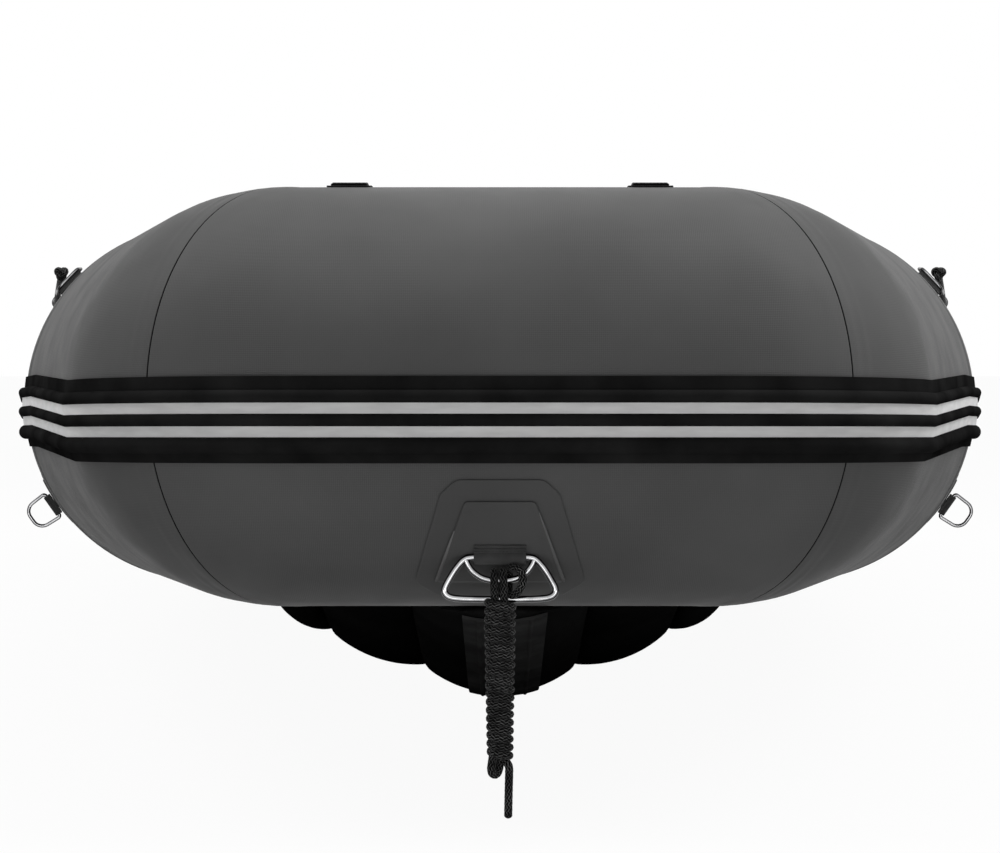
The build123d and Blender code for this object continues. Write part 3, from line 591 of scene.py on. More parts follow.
def step_height(profile, s):
    for (s0, h0), (s1, h1) in zip(profile, profile[1:]):
        if s <= s1:
            share = (s - s0) / (s1 - s0)
            return h0 + (h1 - h0) * share
    return profile[-1][1]


# Gathers beside a seam: where they start, how far they reach, and their depth outside and further in
PUCKER_START = 0.02
PUCKER_REACH = 0.03
PUCKER_DEPTH = 0.00022
PUCKER_INSIDE = 0.0011


def pucker(phi, s, seed):
    """Small gathers in the cloth beside a seam, deeper on the inside of the bend."""
    if s < PUCKER_START:
        return 0.0
    inside = 0.5 - 0.5 * math.cos(phi)
    depth = (PUCKER_DEPTH + PUCKER_INSIDE * inside) * math.exp(-(s - PUCKER_START) / PUCKER_REACH)
    return depth * noise.noise(Vector((math.cos(phi) * 7, math.sin(phi) * 7, seed)))


def skin_rows(curve, length, first, last, seed):
    """Rows of points along a panel. first and last are the height profiles at its two seams, or None."""
    rows, uvs = [], []
    nominal = length(0.0)
    near = NEAR_SEAM if first else [0.0]
    far = NEAR_SEAM if last else [0.0]
    inner = nominal - near[-1] - far[-1]
    count = max(2, round(inner / SKIN_STEP))
    stations = [("near", s) for s in near]
    stations += [("middle", k / count) for k in range(1, count)]
    stations += [("far", s) for s in reversed(far)]
    for kind, value in stations:
        row, row_uv = [], []
        for phi in SKIN_ANGLES:
            whole = length(phi)
            fit = min(1.0, whole / (near[-1] + far[-1] + 0.02))
            if kind == "near":
                s = value * fit
            elif kind == "far":
                s = whole - value * fit
            else:
                span = whole - (near[-1] + far[-1]) * fit
                s = near[-1] * fit + span * value
            lift = 0.0
            if first:
                lift += step_height(first, s) + pucker(phi, s, seed)
            if last:
                lift += step_height(last, whole - s) + pucker(phi, whole - s, seed + 3)
            point, deg = curve(phi, s)
            normal = outward(deg) * math.cos(phi) + Vector((0, 0, math.sin(phi)))
            row.append(world(point + normal * lift))
            row_uv.append((s, TUBE_R * half_turn(phi)))
        rows.append(row)
        uvs.append(row_uv)
    return rows, uvs


def tube_piece(rows, uvs):
    return flat(rows), grid_faces(len(rows), AROUND, closed_columns=True), flat(uvs)


def build_tubes():
    rows, uvs = skin_rows(bow_curve, bow_length, None, LAP_EDGE, 1.0)
    port = [mirrored(row) for row in reversed(rows[1:])]
    port_uv = [[(-u, v) for u, v in row] for row in reversed(uvs[1:])]
    piece("bow_skin", "tube_bow", tube_piece(port + rows, port_uv + uvs), TUBE)
    aft = gore_curve(last_mitre, 90.0, CONE_Y - last_mitre.y, last=True)
    panels = [("shoulder", shoulder_curve, shoulder_length, STRIP_EDGE, 2.0),
              ("side_fwd", *gore_curve(*gores[1]), TAPE_EDGE, 3.0),
              ("side_mid", *gore_curve(*gores[2]), TAPE_EDGE, 4.0),
              ("side_aft", *aft, TAPE_EDGE, 5.0)]
    for name, curve, length, first, seed in panels:
        made = tube_piece(*skin_rows(curve, length, first, TAPE_EDGE, seed))
        pair(name + "_skin", "tube_" + name, made, TUBE)


build_tubes()


def glue_and_shade_line():
    """Dark bead of glue along the front seams, kept near black as painted shade for the groove it lies in."""
    for side in (1, -1):
        rows, uvs = [], []
        for s in (0.0, GLUE_W * 0.5, GLUE_W):
            row, row_uv = [], []
            for phi in SKIN_ANGLES:
                point, deg = shoulder_curve(phi, s)
                normal = outward(deg) * math.cos(phi) + Vector((0, 0, math.sin(phi)))
                spot = world(point + normal * (0.0001 if s else -0.0001))
                row.append(Vector((side * spot.x, spot.y, spot.z)))
                row_uv.append((s, TUBE_R * phi))
            rows += row
            uvs += row_uv
        name = "front_glue_and_shade_" + ("stbd" if side > 0 else "port")
        new_object(name, (rows, grid_faces(3, AROUND, closed_columns=True), uvs), GLUE_AND_SHADE)


glue_and_shade_line()


# Painter, one rope from the ring's curved bar to its hanging end, places in mm from the bow's axis
# Right, aft and height of the rope's points: strands on the bar with the hank's core between them, then the
# small curl beside the hank
PAINTER_START = [
    (-5.0, -161.5, -199.0), (-5.6, -155.6, -183.0), (-5.6, -155.2, -165.7), (-5.6, -170.9, -165.7),
    (-5.4, -170.8, -186.0), (-4.6, -171.0, -200.0), (-3.6, -171.0, -230.0), (-3.4, -171.5, -300.0),
    (-6.6, -173.0, -342.0), (-9.6, -175.0, -360.0), (-1.4, -166.5, -363.0), (1.0, -165.5, -342.0),
    (3.0, -165.5, -300.0), (3.6, -165.0, -230.0), (3.2, -161.5, -200.0), (2.4, -155.6, -183.0),
    (2.4, -155.2, -165.5), (2.6, -171.0, -165.2), (4.0, -171.4, -186.0), (4.2, -169.0, -203.0),
    (5.6, -162.0, -200.0), (8.8, -155.6, -183.0), (9.0, -155.4, -164.0), (11.5, -168.5, -160.0),
    (20.5, -174.5, -163.0), (23.0, -175.5, -175.0), (17.0, -171.0, -186.0), (8.0, -160.5, -190.5),
    (-3.0, -156.5, -192.5),
]
HANK_TURNS = 19
TURN_POINTS = 12
HANK_Y = -168.0
HANK_TOP_Z = -194.0
HANK_LOW_Z = -346.0
HANK_START_DEG = 118.0
WRAP_TOP_R = 12.1
WRAP_LOW_R = 9.3
PAINTER_END = [(8.8, -171.5, -351.5), (8.9, -169.0, -360.0), (8.3, -168.6, -380.0), (7.9, -169.0, -404.2)]
BRAID_DEPTH = 0.00036


def spline_points(name, points, resolution):
    """Points read along a smooth spline whose control points these are."""
    curve = bpy.data.curves.new(name, "CURVE")
    curve.dimensions = "3D"
    spline = curve.splines.new("NURBS")
    spline.points.add(len(points) - 1)
    for place, point in zip(spline.points, points):
        place.co = (*point, 1)
    spline.order_u = 3
    spline.use_endpoint_u = True
    spline.resolution_u = resolution
    holder = bpy.data.objects.new(name, curve)
    mesh = bpy.data.meshes.new_from_object(holder)
    line = np.array([v.co for v in mesh.vertices], float).reshape(-1, 3)
    bpy.data.meshes.remove(mesh)
    bpy.data.objects.remove(holder)
    bpy.data.curves.remove(curve)
    return line


def evenly(line, step):
    along = np.concatenate([[0], np.cumsum(np.linalg.norm(np.diff(line, axis=0), axis=1))])
    at = np.linspace(0, along[-1], max(3, round(along[-1] / step) + 1))
    return np.stack([np.interp(at, along, line[:, k]) for k in range(3)], axis=1), at


def braid(name, line, radius, step, around):
    """A braided rope's surface along a line: two sets of strands that pass over and under."""
    points, at = evenly(line, step)
    tangents = np.gradient(points, axis=0)
    tangents /= np.linalg.norm(tangents, axis=1)[:, None]
    side = np.cross(tangents[0], (0.31, 0.17, 0.93))
    side /= np.linalg.norm(side)
    phi = np.arange(around) * math.tau / around
    lay = math.tau * radius / BRAID_STRANDS
    turns = BRAID_STRANDS * phi / math.tau
    verts, uvs = [], []
    ends = radius * np.array([0.35, 0.75, 0.94])
    for i, (p, t) in enumerate(zip(points, tangents)):
        side = side - t * side.dot(t)
        side /= np.linalg.norm(side)
        other = np.cross(t, side)
        a = turns + at[i] / lay / 2
        b = turns - at[i] / lay / 2
        over = (np.floor(a) + np.floor(b)) % 2 == 0
        wave_a = np.cos(math.pi * (a % 1 - 0.5))
        wave_b = np.cos(math.pi * (b % 1 - 0.5))
        top = np.where(over, wave_a * (0.75 + 0.25 * wave_b), wave_b * (0.75 + 0.25 * wave_a))
        r = radius + BRAID_DEPTH * (top - 0.75)
        from_end = min(i, len(points) - 1 - i)
        if from_end < len(ends):
            r = np.full(around, ends[from_end])
        ring = p + np.outer(r * np.cos(phi), side) + np.outer(r * np.sin(phi), other)
        verts.extend(ring)
        uvs.extend((at[i], radius * f) for f in phi)
    made = verts, rod_faces(len(points), around), uvs
    return new_object(name, made, ROPE, sharp_deg=0), points


def painter():
    route = list(PAINTER_START)
    for k in range(1, HANK_TURNS * TURN_POINTS):
        share = k / (HANK_TURNS * TURN_POINTS)
        angle = math.radians(HANK_START_DEG) + math.tau * k / TURN_POINTS
        r = WRAP_TOP_R + (WRAP_LOW_R - WRAP_TOP_R) * share
        z = HANK_TOP_Z + (HANK_LOW_Z - HANK_TOP_Z) * share
        sway = 0.6 * noise.noise(Vector((share * 9, 0, 0)))
        route.append((r * math.cos(angle) + sway, HANK_Y + r * math.sin(angle), z))
    route += PAINTER_END
    line = spline_points("painter_route", [bow_axis + Vector(p) * 0.001 for p in route], 10)
    rope, path = braid("painter", line, ROPE_R, *PAINTER_MESH)
    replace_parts(rope, "rope_loops", "rope_hank", "rope_fold", "rope_tail")


painter()


# Fittings on the cloth, built in a frame on the tube's axis whose z points out


def rounded_outline(corners, step=0.002):
    """Points round a closed outline of (x, y, corner radius), and the inward direction at each."""
    points, inward = [], []
    count = len(corners)
    for k in range(count):
        x, y, r = corners[k]
        at = Vector((x, y))
        before = (Vector(corners[k - 1][:2]) - at).normalized()
        after = (Vector(corners[(k + 1) % count][:2]) - at).normalized()
        half = before.angle(after) / 2
        centre = at + (before + after).normalized() * (r / math.sin(half))
        begin = at + before * (r / math.tan(half)) - centre
        finish = at + after * (r / math.tan(half)) - centre
        swing = begin.angle_signed(finish)
        parts = max(3, round(abs(swing) * r / step))
        for j in range(parts + 1):
            turn = -swing * j / parts
            arm = Matrix.Rotation(turn, 2) @ begin
            points.append(centre + arm)
            inward.append(-arm.normalized())
    full, full_in = [], []
    for k in range(len(points)):
        p, q = points[k], points[(k + 1) % len(points)]
        a, b = inward[k], inward[(k + 1) % len(points)]
        parts = max(1, round((q - p).length / (2.5 * step)))
        for j in range(parts):
            full.append(p.lerp(q, j / parts))
            full_in.append(a.lerp(b, j / parts).normalized())
    return full, full_in


def on_tube(place, x, y, above):
    return place @ Vector((x, y, math.sqrt((TUBE_R + above) ** 2 - y * y)))


STITCH_PITCH = 0.0035
STITCH_LEN = 0.0022
STITCH_R = 0.00035
# Distance in from a patch's edge and share of its thickness there
CUT_EDGE = [(0.0, -0.2), (0.0, 0.55), (0.00015, 0.85), (0.0005, 1.0), (0.0018, 1.0), (0.0030, 0.96),
            (0.0042, 1.0)]
PAD_EDGE = [(0.0, -0.1), (0.0001, 0.45), (0.0006, 0.8), (0.0014, 0.96), (0.0026, 1.0), (0.0044, 0.93),
            (0.0052, 0.99), (0.0062, 1.0)]


def patch_mesh(place, corners, base, thick, profile, relief=None):
    """A cloth patch laid round the tube, its edge cut and rolled down as the profile says."""
    outline, inward = rounded_outline(corners)
    middle = sum(outline, Vector((0, 0))) / len(outline)
    verts, uvs = [], []

    def add(point, above):
        lift = relief(point.x, point.y) if relief and above > base else 0.0
        verts.append(on_tube(place, point.x, point.y, above + lift))
        uvs.append((point.x, point.y))

    for inset, share in profile:
        for point, direction in zip(outline, inward):
            add(point + direction * inset, base + thick * share)
    last = [point + direction * profile[-1][0] for point, direction in zip(outline, inward)]
    shrinks = (0.92, 0.8, 0.66, 0.5, 0.34, 0.18)
    for shrink in shrinks:
        for point in last:
            add(middle + (point - middle) * shrink, base + thick)
    add(middle, base + thick)
    ring = len(outline)
    rows = len(profile) + len(shrinks)
    faces = grid_faces(rows, ring, closed_columns=True)
    faces += [((rows - 1) * ring + k, (rows - 1) * ring + (k + 1) % ring, rows * ring) for k in range(ring)]
    faces.append(tuple(range(ring)))
    return verts, faces, uvs


def join(*meshes):
    verts, faces, uvs = [], [], []
    for more_verts, more_faces, more_uvs in meshes:
        start = len(verts)
        verts += more_verts
        uvs += more_uvs
        faces += [tuple(start + k for k in face) for face in more_faces]
    return verts, faces, uvs


def half_outline(half):
    """A symmetrical outline from the corners of its starboard half, in metres."""
    right = [(x * 0.001, y * 0.001, r * 0.001) for x, y, r in half]
    return right + [(-x, y, r) for x, y, r in reversed(right)]


def box_outline(length, width, radius):
    x, y = length / 2, width / 2
    return [(x, y, radius), (x, -y, radius), (-x, -y, radius), (-x, y, radius)]


def band_mesh(path, side, half_w, thick, crown=0.0):
    """A webbing band along a path of points, its cross-section a flat loop with rounded edges."""
    around = []
    edge = thick / 2
    for k in range(5):
        a = -math.pi / 2 + math.pi * k / 4
        around.append((half_w - edge + edge * math.cos(a), edge * math.sin(a)))
    shares = [0.75, 0.5, 0.25, 0.0, -0.25, -0.5, -0.75]
    around += [(f * (half_w - edge), edge + crown * (1 - f * f)) for f in shares]
    around += [(-x, -y) for x, y in around[:5]]
    around += [(-f * (half_w - edge), -edge) for f in shares]
    verts, uvs = [], []
    run = 0.0
    for i, point in enumerate(path):
        ahead = path[min(i + 1, len(path) - 1)] - path[max(i - 1, 0)]
        out = side.cross(ahead).normalized()
        if i:
            run += (point - path[i - 1]).length
        for x, y in around:
            verts.append(point + side * x + out * y)
            uvs.append((run, x))
    return verts, rod_faces(len(path), len(around)), uvs


def omega(along, up, bar_h, wrap_r, foot_h, foot_l, drop=None):
    """Path of a strap that lies on the patch, rises over a ring's bar and lies down again."""
    steps = [(-foot_l, foot_h), (-foot_l * 0.8, foot_h), (-foot_l * 0.62, foot_h)]
    low = bar_h - wrap_r
    lean = max(low - foot_h, 0)
    steps += [(-wrap_r * 1.5, foot_h + lean * 0.3 + wrap_r * 0.12),
              (-wrap_r * 1.12, foot_h + (bar_h - foot_h) * 0.55)]
    for k in range(9):
        a = math.pi - math.pi * k / 8
        steps.append((wrap_r * math.cos(a), bar_h + wrap_r * math.sin(a)))
    steps += [(-x, z) for x, z in reversed(steps[:5])]
    return [along * x + up * (TUBE_R + z - (drop(x) if drop else 0.0)) for x, z in steps]


def stitch_row(start, direction, up, count):
    """A row of thread stitches, each a short bead sunk at both ends."""
    meshes = []
    side = direction.cross(up).normalized()
    for k in range(count):
        at = start + direction * (k * STITCH_PITCH)
        verts, uvs = [], []
        for share, size, sink in ((-0.5, 0.3, -0.0003), (-0.35, 0.9, 0.0), (0.0, 1.0, 0.0002),
                                  (0.35, 0.9, 0.0), (0.5, 0.3, -0.0003)):
            for j in range(6):
                a = math.tau * j / 6
                ring = side * (math.cos(a) * STITCH_R * size) + up * (math.sin(a) * STITCH_R * size + sink)
                verts.append(at + direction * (share * STITCH_LEN) + ring)
                uvs.append((share * STITCH_LEN, j * STITCH_R))
        meshes.append((verts, rod_faces(5, 6), uvs))
    return join(*meshes)


def set_at(made, place):
    verts, faces, uvs = made
    return [place @ v for v in verts], faces, uvs


# Tow fitting: outlines in mm across and up from the bow's axis, as half of each
TOW_PATCH = half_outline([(42.0, -75.0, 14.0), (57.0, -89.0, 10.0), (84.0, -180.0, 10.0),
                          (62.0, -196.0, 10.0)])
TOW_PAD = half_outline([(34.0, -96.0, 6.0), (63.0, -180.0, 3.0)])
TOW_PATCH_T = 0.0016
TOW_PAD_T = 0.0026
TOW_BAR_DEG = -43.0
TOW_BAR_H = 0.008
# The tow pad's upper corner, how far its edge runs out and down from there, and the channel inside the edge
PAD_CORNER = (0.034, -0.096)
PAD_RUN = (29.0, 84.0)
CHANNEL_DEPTH = 0.0010
CHANNEL_IN = 0.011
CHANNEL_W = 0.0022
PAD_WAVES = 0.0005


def pad_relief(x, y):
    """Soft swelling of the tow pad, with a pressed channel inside each slanted edge."""
    beside = abs(x) - (PAD_CORNER[0] + (PAD_CORNER[1] - y) * PAD_RUN[0] / PAD_RUN[1])
    channel = -CHANNEL_DEPTH * math.exp(-((beside + CHANNEL_IN) / CHANNEL_W) ** 2)
    return channel + PAD_WAVES * noise.noise(Vector((x * 40, y * 40, 2.0)))


def round_tube(y):
    """How far the tube's skin falls away at a distance from where it is touched."""
    return TUBE_R - math.sqrt(TUBE_R ** 2 - y * y)


def tow_fitting():
    place = bow_frame(0, -LIFT_DEG)
    made = patch_mesh(place, TOW_PATCH, GAP, TOW_PATCH_T, CUT_EDGE)
    piece("tow_patch_cloth", "tow_patch", made, PATCH)
    base = 2 * GAP + TOW_PATCH_T
    made = patch_mesh(place, TOW_PAD, base, TOW_PAD_T, PAD_EDGE, pad_relief)
    piece("tow_pad_cloth", "tow_pad", made, PATCH)
    place = bow_frame(0, TOW_BAR_DEG - LIFT_DEG)
    low = base + TOW_PAD_T + GAP
    along, up, side = Vector((0, 1, 0)), Vector((0, 0, 1)), Vector((-1, 0, 0))
    meshes = []
    for foot, height, wrap in ((0.0145, 0.0008, 0.0043), (0.0115, 0.0026, 0.0060)):
        path = omega(along, up, TOW_BAR_H, wrap, low + height, foot, round_tube)
        meshes.append(band_mesh(path, side, 0.0255 - height * 0.2, 0.0016, 0.0002))
    for y in (-0.0092, 0.0092):
        at = Vector((-0.021, y, TUBE_R + low + 0.0037 - round_tube(y)))
        meshes.append(stitch_row(at, Vector((1, 0, 0)), up, 13))
    piece("tow_keeper_strap", "tow_keeper", set_at(join(*meshes), place), GREY_WEB)


tow_fitting()


def bent_wire(line, radius, around=18):
    """Round wire along a closed or open line of points."""
    points = [Vector(p) for p in line]
    closed = (points[0] - points[-1]).length < 1e-6
    if closed:
        points = points[:-1]
    count = len(points)
    verts, uvs = [], []
    run = 0.0
    side = Vector((0, 1, 0))
    for i, point in enumerate(points):
        after = points[(i + 1) % count] if closed or i < count - 1 else point
        before = points[i - 1] if closed or i else point
        ahead = (after - before).normalized()
        side = (side - ahead * side.dot(ahead)).normalized()
        other = ahead.cross(side)
        for k in range(around):
            a = math.tau * k / around
            verts.append(point + side * (math.cos(a) * radius) + other * (math.sin(a) * radius))
            uvs.append((run, a * radius))
        run += (after - point).length
    if closed:
        return verts, grid_faces(count, around, closed_columns=True, closed_rows=True), uvs
    return verts, rod_faces(count, around), uvs


# The ring's own line and its curved bar, in mm across and down from the bar in the keeper
RING_HALF = [(0, 0), (15, 0), (27, 0), (34.5, -2), (42, -10), (49, -21), (53.6, -31), (51, -37), (42, -39.6),
             (22, -40.4), (0, -40.6)]
SAG_HALF = [(33, -2.5), (30.5, -8), (26, -14), (18, -19.5), (9, -22), (0, -22.4)]
RING_WIRE_R = 0.0033


def smooth_line(points, each=6):
    """Points on a rounded line through the corners given, by Catmull-Rom spans."""
    line = []
    for k in range(len(points) - 1):
        p0, p1 = points[max(k - 1, 0)], points[k]
        p2, p3 = points[k + 1], points[min(k + 2, len(points) - 1)]
        for j in range(each):
            t = j / each
            line.append(0.5 * (2 * p1 + (p2 - p0) * t + (2 * p0 - 5 * p1 + 4 * p2 - p3) * t ** 2
                               + (3 * p1 - p0 - 3 * p2 + p3) * t ** 3))
    return line + [points[-1]]


def tow_ring():
    around = math.radians(TOW_BAR_DEG)
    bar = bow_axis + Vector((0, -math.cos(around), math.sin(around))) * (TUBE_R + TOW_BAR_H)
    lines = []
    for half in (RING_HALF, SAG_HALF):
        right = [bar + Vector((x, 0, z)) * 0.001 for x, z in half]
        left = [bar + Vector((-x, 0, z)) * 0.001 for x, z in reversed(half)]
        lines.append(smooth_line(right + left[1:]))
    loop, sag = lines
    loop[-1] = loop[0]
    made = join(bent_wire(loop, RING_WIRE_R), bent_wire(sag, RING_WIRE_R * 0.93))
    piece("tow_ring_wire", "tow_ring", made, STEEL)


tow_ring()


# Pressed ridges beside the tow pad's slanted edges: where a whole one starts and how far it runs, out and up
RIDGE_FROM = (0.0338, -0.097)
RIDGE_RUN = (0.0290, -0.083)
RIDGE_ROWS = 25
RIDGE_AROUND = 10


def pad_ridges():
    place = bow_frame(0, -LIFT_DEG)
    lift = 2 * GAP + TOW_PATCH_T + TOW_PAD_T * 0.7
    for side, sign, start in (("stbd", 1, 0.12), ("port", -1, 0.34)):
        verts, uvs = [], []
        for k in range(RIDGE_ROWS):
            share = start + (0.99 - start) * k / (RIDGE_ROWS - 1)
            x = sign * (RIDGE_FROM[0] + RIDGE_RUN[0] * share)
            y = RIDGE_FROM[1] + RIDGE_RUN[1] * share
            wide = (0.0009 + 0.0013 * share) * (0.5 + 0.5 * min(1.0, k / 5))
            if k == RIDGE_ROWS - 1:
                wide *= 0.5
            for j in range(RIDGE_AROUND):
                a = math.tau * j / RIDGE_AROUND
                verts.append(on_tube(place, x + wide * math.cos(a), y, lift + 0.6 * wide * math.sin(a)))
                uvs.append((y, x + wide * math.cos(a)))
        # The ridges' lighter grey is a painted highlight
        new_object("tow_pad_ridge_" + side, (verts, rod_faces(RIDGE_ROWS, RIDGE_AROUND), uvs), RIDGE)


pad_ridges()


# Side fittings: distances aft and angles round the tube, then thickness of patch, wire, play and strap
LINE_STOPS = [1.130, 1.660, 2.140, 2.610]
SHOULDER_STOP = 0.560
LINE_AROUND = 43.0
QUARTER_STOP = 0.600
QUARTER_AROUND = -35.0
SIDE_PATCH_T = 0.0026
SIDE_WIRE_R = 0.0022
SIDE_PLAY = 0.0003
SIDE_WEB_T = 0.0017


def side_fittings():
    # Node stem, distances aft, angle, patch's length and width, strap's width and half length
    kinds = (
        ("shoulder", [SHOULDER_STOP], LINE_AROUND, (0.076, 0.092), 0.036, 0.015),
        ("line", LINE_STOPS, LINE_AROUND, (0.076, 0.092), 0.036, 0.015),
        ("quarter", [QUARTER_STOP], QUARTER_AROUND, (0.070, 0.080), 0.028, 0.011),
    )
    along, up, side = Vector((1, 0, 0)), Vector((0, 0, 1)), Vector((0, 1, 0))
    for stem, stops, around, (length, width), web_w, foot in kinds:
        patches, keepers = [], []
        for stop in stops:
            place = side_frame(stop, around)
            layer = SIDE_PATCH_T * 0.5
            lower, upper = box_outline(length, width, 0.020), box_outline(length - 0.014, width - 0.014, 0.014)
            patches.append(patch_mesh(place, lower, GAP, layer, CUT_EDGE))
            patches.append(patch_mesh(place, upper, GAP + layer, layer, CUT_EDGE))
            low = 2 * GAP + SIDE_PATCH_T
            bar_h = low + 0.0026 + SIDE_WIRE_R + SIDE_PLAY
            wrap = SIDE_WIRE_R + SIDE_PLAY + SIDE_WEB_T / 2
            path = omega(along, up, bar_h, wrap, low + 0.0009, foot)
            meshes = [band_mesh(path, side, web_w / 2, SIDE_WEB_T, 0.0001)]
            for x in (-foot * 0.82, foot * 0.82):
                at = Vector((x, -web_w / 2 + 0.004, TUBE_R + low + 0.0019))
                meshes.append(stitch_row(at, side, up, round((web_w - 0.008) / STITCH_PITCH) + 1))
            keepers.append(set_at(join(*meshes), place))
        pair(stem + "_patch_cloth", stem + "_patch", join(*patches), PATCH)
        pair(stem + "_keeper_strap", stem + "_keeper", join(*keepers), GREY_WEB)


side_fittings()


# Carry handles over the bow's crest: a patch with a flat grip that is sewn down at both ends
HANDLE_X = 0.154
HANDLE_DEG = 92.0
# Length, width and corner radius of the patch, then its thickness
HANDLE_PATCH = (0.046, 0.080, 0.008)
HANDLE_PATCH_T = 0.0014
HANDLE_HALF = 0.037
HANDLE_SEAMS = (-0.034, -0.029, 0.029, 0.034)


def bow_handles():
    place = bow_frame(HANDLE_X, HANDLE_DEG)
    pad = patch_mesh(place, box_outline(*HANDLE_PATCH), GAP, HANDLE_PATCH_T, CUT_EDGE)
    path = []
    for k in range(25):
        y = HANDLE_HALF * (k / 12 - 1)
        away = min(1.0, max(0.0, (0.026 - abs(y)) / 0.010))
        rise = 0.0026 + 0.0014 * away * away * (3 - 2 * away)
        path.append(Vector((0, y, math.sqrt((TUBE_R + rise) ** 2 - y * y))))
    meshes = [pad, set_at(band_mesh(path, Vector((-1, 0, 0)), 0.0185, 0.0024, 0.0006), place)]
    for y in HANDLE_SEAMS:
        at = Vector((-0.014, y, math.sqrt((TUBE_R + 0.0042) ** 2 - y * y)))
        meshes.append(set_at(stitch_row(at, Vector((1, 0, 0)), Vector((0, 0, 1)), 9), place))
    pair("bow_handle_strap", "bow_handle", join(*meshes), BLACK_WEB)


bow_handles()


# Lifeline along each side and its knots
LINE_LIFT = 0.0215
LINE_SETTLE = 0.0155
LINE_DROOP_DEG = 6.0
LINE_STEP = 0.100
# A knot's middle past the line's end, a third of its half width, and its rope's radius
KNOT_OUT = 0.0088
KNOT_SIZE = 0.0021
KNOT_R = 0.0036


def line_point(stop, around, height):
    return side_frame(stop, around) @ Vector((0, 0, TUBE_R + height))


def knot_path(middle, size):
    """A loose overhand knot, as a closed three-lobed loop with its ends tucked in."""
    points = []
    for k in range(61):
        t = 0.12 + (math.tau - 0.24) * k / 60
        x = math.sin(t) + 2 * math.sin(2 * t)
        y = math.cos(t) - 2 * math.cos(2 * t)
        points.append(middle + Vector((x, -1.2 * math.sin(3 * t), y)) * size)
    return np.array([tuple(p) for p in points])


def lifelines():
    stops = [SHOULDER_STOP + 0.018] + LINE_STOPS
    points = []
    for near, after in zip(stops, stops[1:]):
        steps = max(4, round((after - near) / LINE_STEP))
        for k in range(steps):
            share = k / steps
            droop = 4 * share * (1 - share)
            points.append(line_point(near + (after - near) * share, LINE_AROUND - LINE_DROOP_DEG * droop,
                                     LINE_LIFT - LINE_SETTLE * droop))
    points.append(line_point(stops[-1], LINE_AROUND, LINE_LIFT))
    points.append(line_point(stops[-1] + 0.040, LINE_AROUND - 2, LINE_LIFT - 0.002))
    for side, sign in (("stbd", 1), ("port", -1)):
        route = points if sign > 0 else mirrored(points)
        line = spline_points("lifeline_route_" + side, route, 12)
        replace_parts(braid("lifeline_" + side, line, ROPE_R, *LINE_MESH)[0], "lifeline")
        for end, inside, where in ((route[0], route[1], "fore"), (route[-1], route[-2], "aft")):
            middle = end + (end - inside).normalized() * KNOT_OUT
            knot = braid(f"lifeline_knot_{where}_{side}", knot_path(middle, KNOT_SIZE), KNOT_R, *KNOT_MESH)[0]
            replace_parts(knot, "lifeline_knot")


lifelines()


# Air floor: the lobes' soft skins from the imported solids, rounded and gathered at their seams
LOBE_VOXEL = 0.007
LOBE_PASSES = 4
LOBE_GATHER = 0.0009
GATHER_REACH = 0.022
LOBE_SWELL = 0.0006
RAIL_VOXEL = 0.004
RAIL_PASSES = 6
# Distance of the seams between lobes from the boat's middle
LOBE_WALLS = (0.098, 0.233, 0.304)


def softened(name, node, voxel, relax, material, gather=0.0):
    """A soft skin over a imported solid: remeshed, relaxed and gathered beside the floor's seams."""
    holder = bpy.data.objects.new(name + "_work", frame["nodes"][node].data.copy())
    bpy.context.scene.collection.objects.link(holder)
    made = holder.modifiers.new("remesh", "REMESH")
    made.mode = "VOXEL"
    made.voxel_size = voxel
    eased = holder.modifiers.new("ease", "SMOOTH")
    eased.factor = 0.5
    eased.iterations = relax
    bpy.context.view_layer.update()
    mesh = bpy.data.meshes.new_from_object(holder.evaluated_get(bpy.context.evaluated_depsgraph_get()))
    bpy.data.objects.remove(holder)
    count = len(mesh.vertices)
    spots = np.zeros(count * 3)
    mesh.vertices.foreach_get("co", spots)
    spots = spots.reshape(-1, 3)
    normals = np.zeros(count * 3)
    mesh.vertices.foreach_get("normal", normals)
    normals = normals.reshape(-1, 3)
    shift = np.zeros(count)
    for k in range(count):
        x, y, z = spots[k]
        swell = noise.noise(Vector((x * 9, y * 5, z * 9)))
        near = min(abs(abs(x) - wall) for wall in LOBE_WALLS)
        folds = noise.noise(Vector((y * 55, x * 8, z * 12 + 3.0)))
        shift[k] = -LOBE_SWELL + LOBE_SWELL * swell + gather * folds * math.exp(-near / GATHER_REACH)
    spots += normals * shift[:, None]
    mesh.vertices.foreach_set("co", spots.ravel())
    faces = [tuple(face.vertices) for face in mesh.polygons]
    bpy.data.meshes.remove(mesh)
    uvs = np.stack([spots[:, 0] + 0.3 * spots[:, 2], spots[:, 1]], axis=1)
    piece(name, node, (spots, faces, uvs), material, sharp_deg=0)


for lobe_name in ("centre", "inner", "outer"):
    softened("floor_lobe_" + lobe_name, "floor_" + lobe_name, LOBE_VOXEL, LOBE_PASSES, FLOOR, LOBE_GATHER)
softened("seat_rail_pad", "seat_rail", RAIL_VOXEL, RAIL_PASSES, PATCH)


# Skirt of cloth from the outer lobe up to the tube, on each side: thickness, the seams' distance in from
# the tube's axis and out from the boat's middle
SKIRT_T = 0.0014
SKIRT_IN = 0.070
SKIRT_SIDE = 0.3045
# First and last distance aft, and the number of rows between and of points across
SKIRT_RUN = (0.775, 2.617, 156)
SKIRT_ACROSS = 13
SKIRT_PUFF = 0.005
SKIRT_RIPPLE = 0.0012
# Distance aft and height of the seam on the outer lobe
SKIRT_STATIONS = [(0.760, 0.142), (1.042, 0.122), (1.450, 0.118), (1.850, 0.118), (2.550, 0.118)]

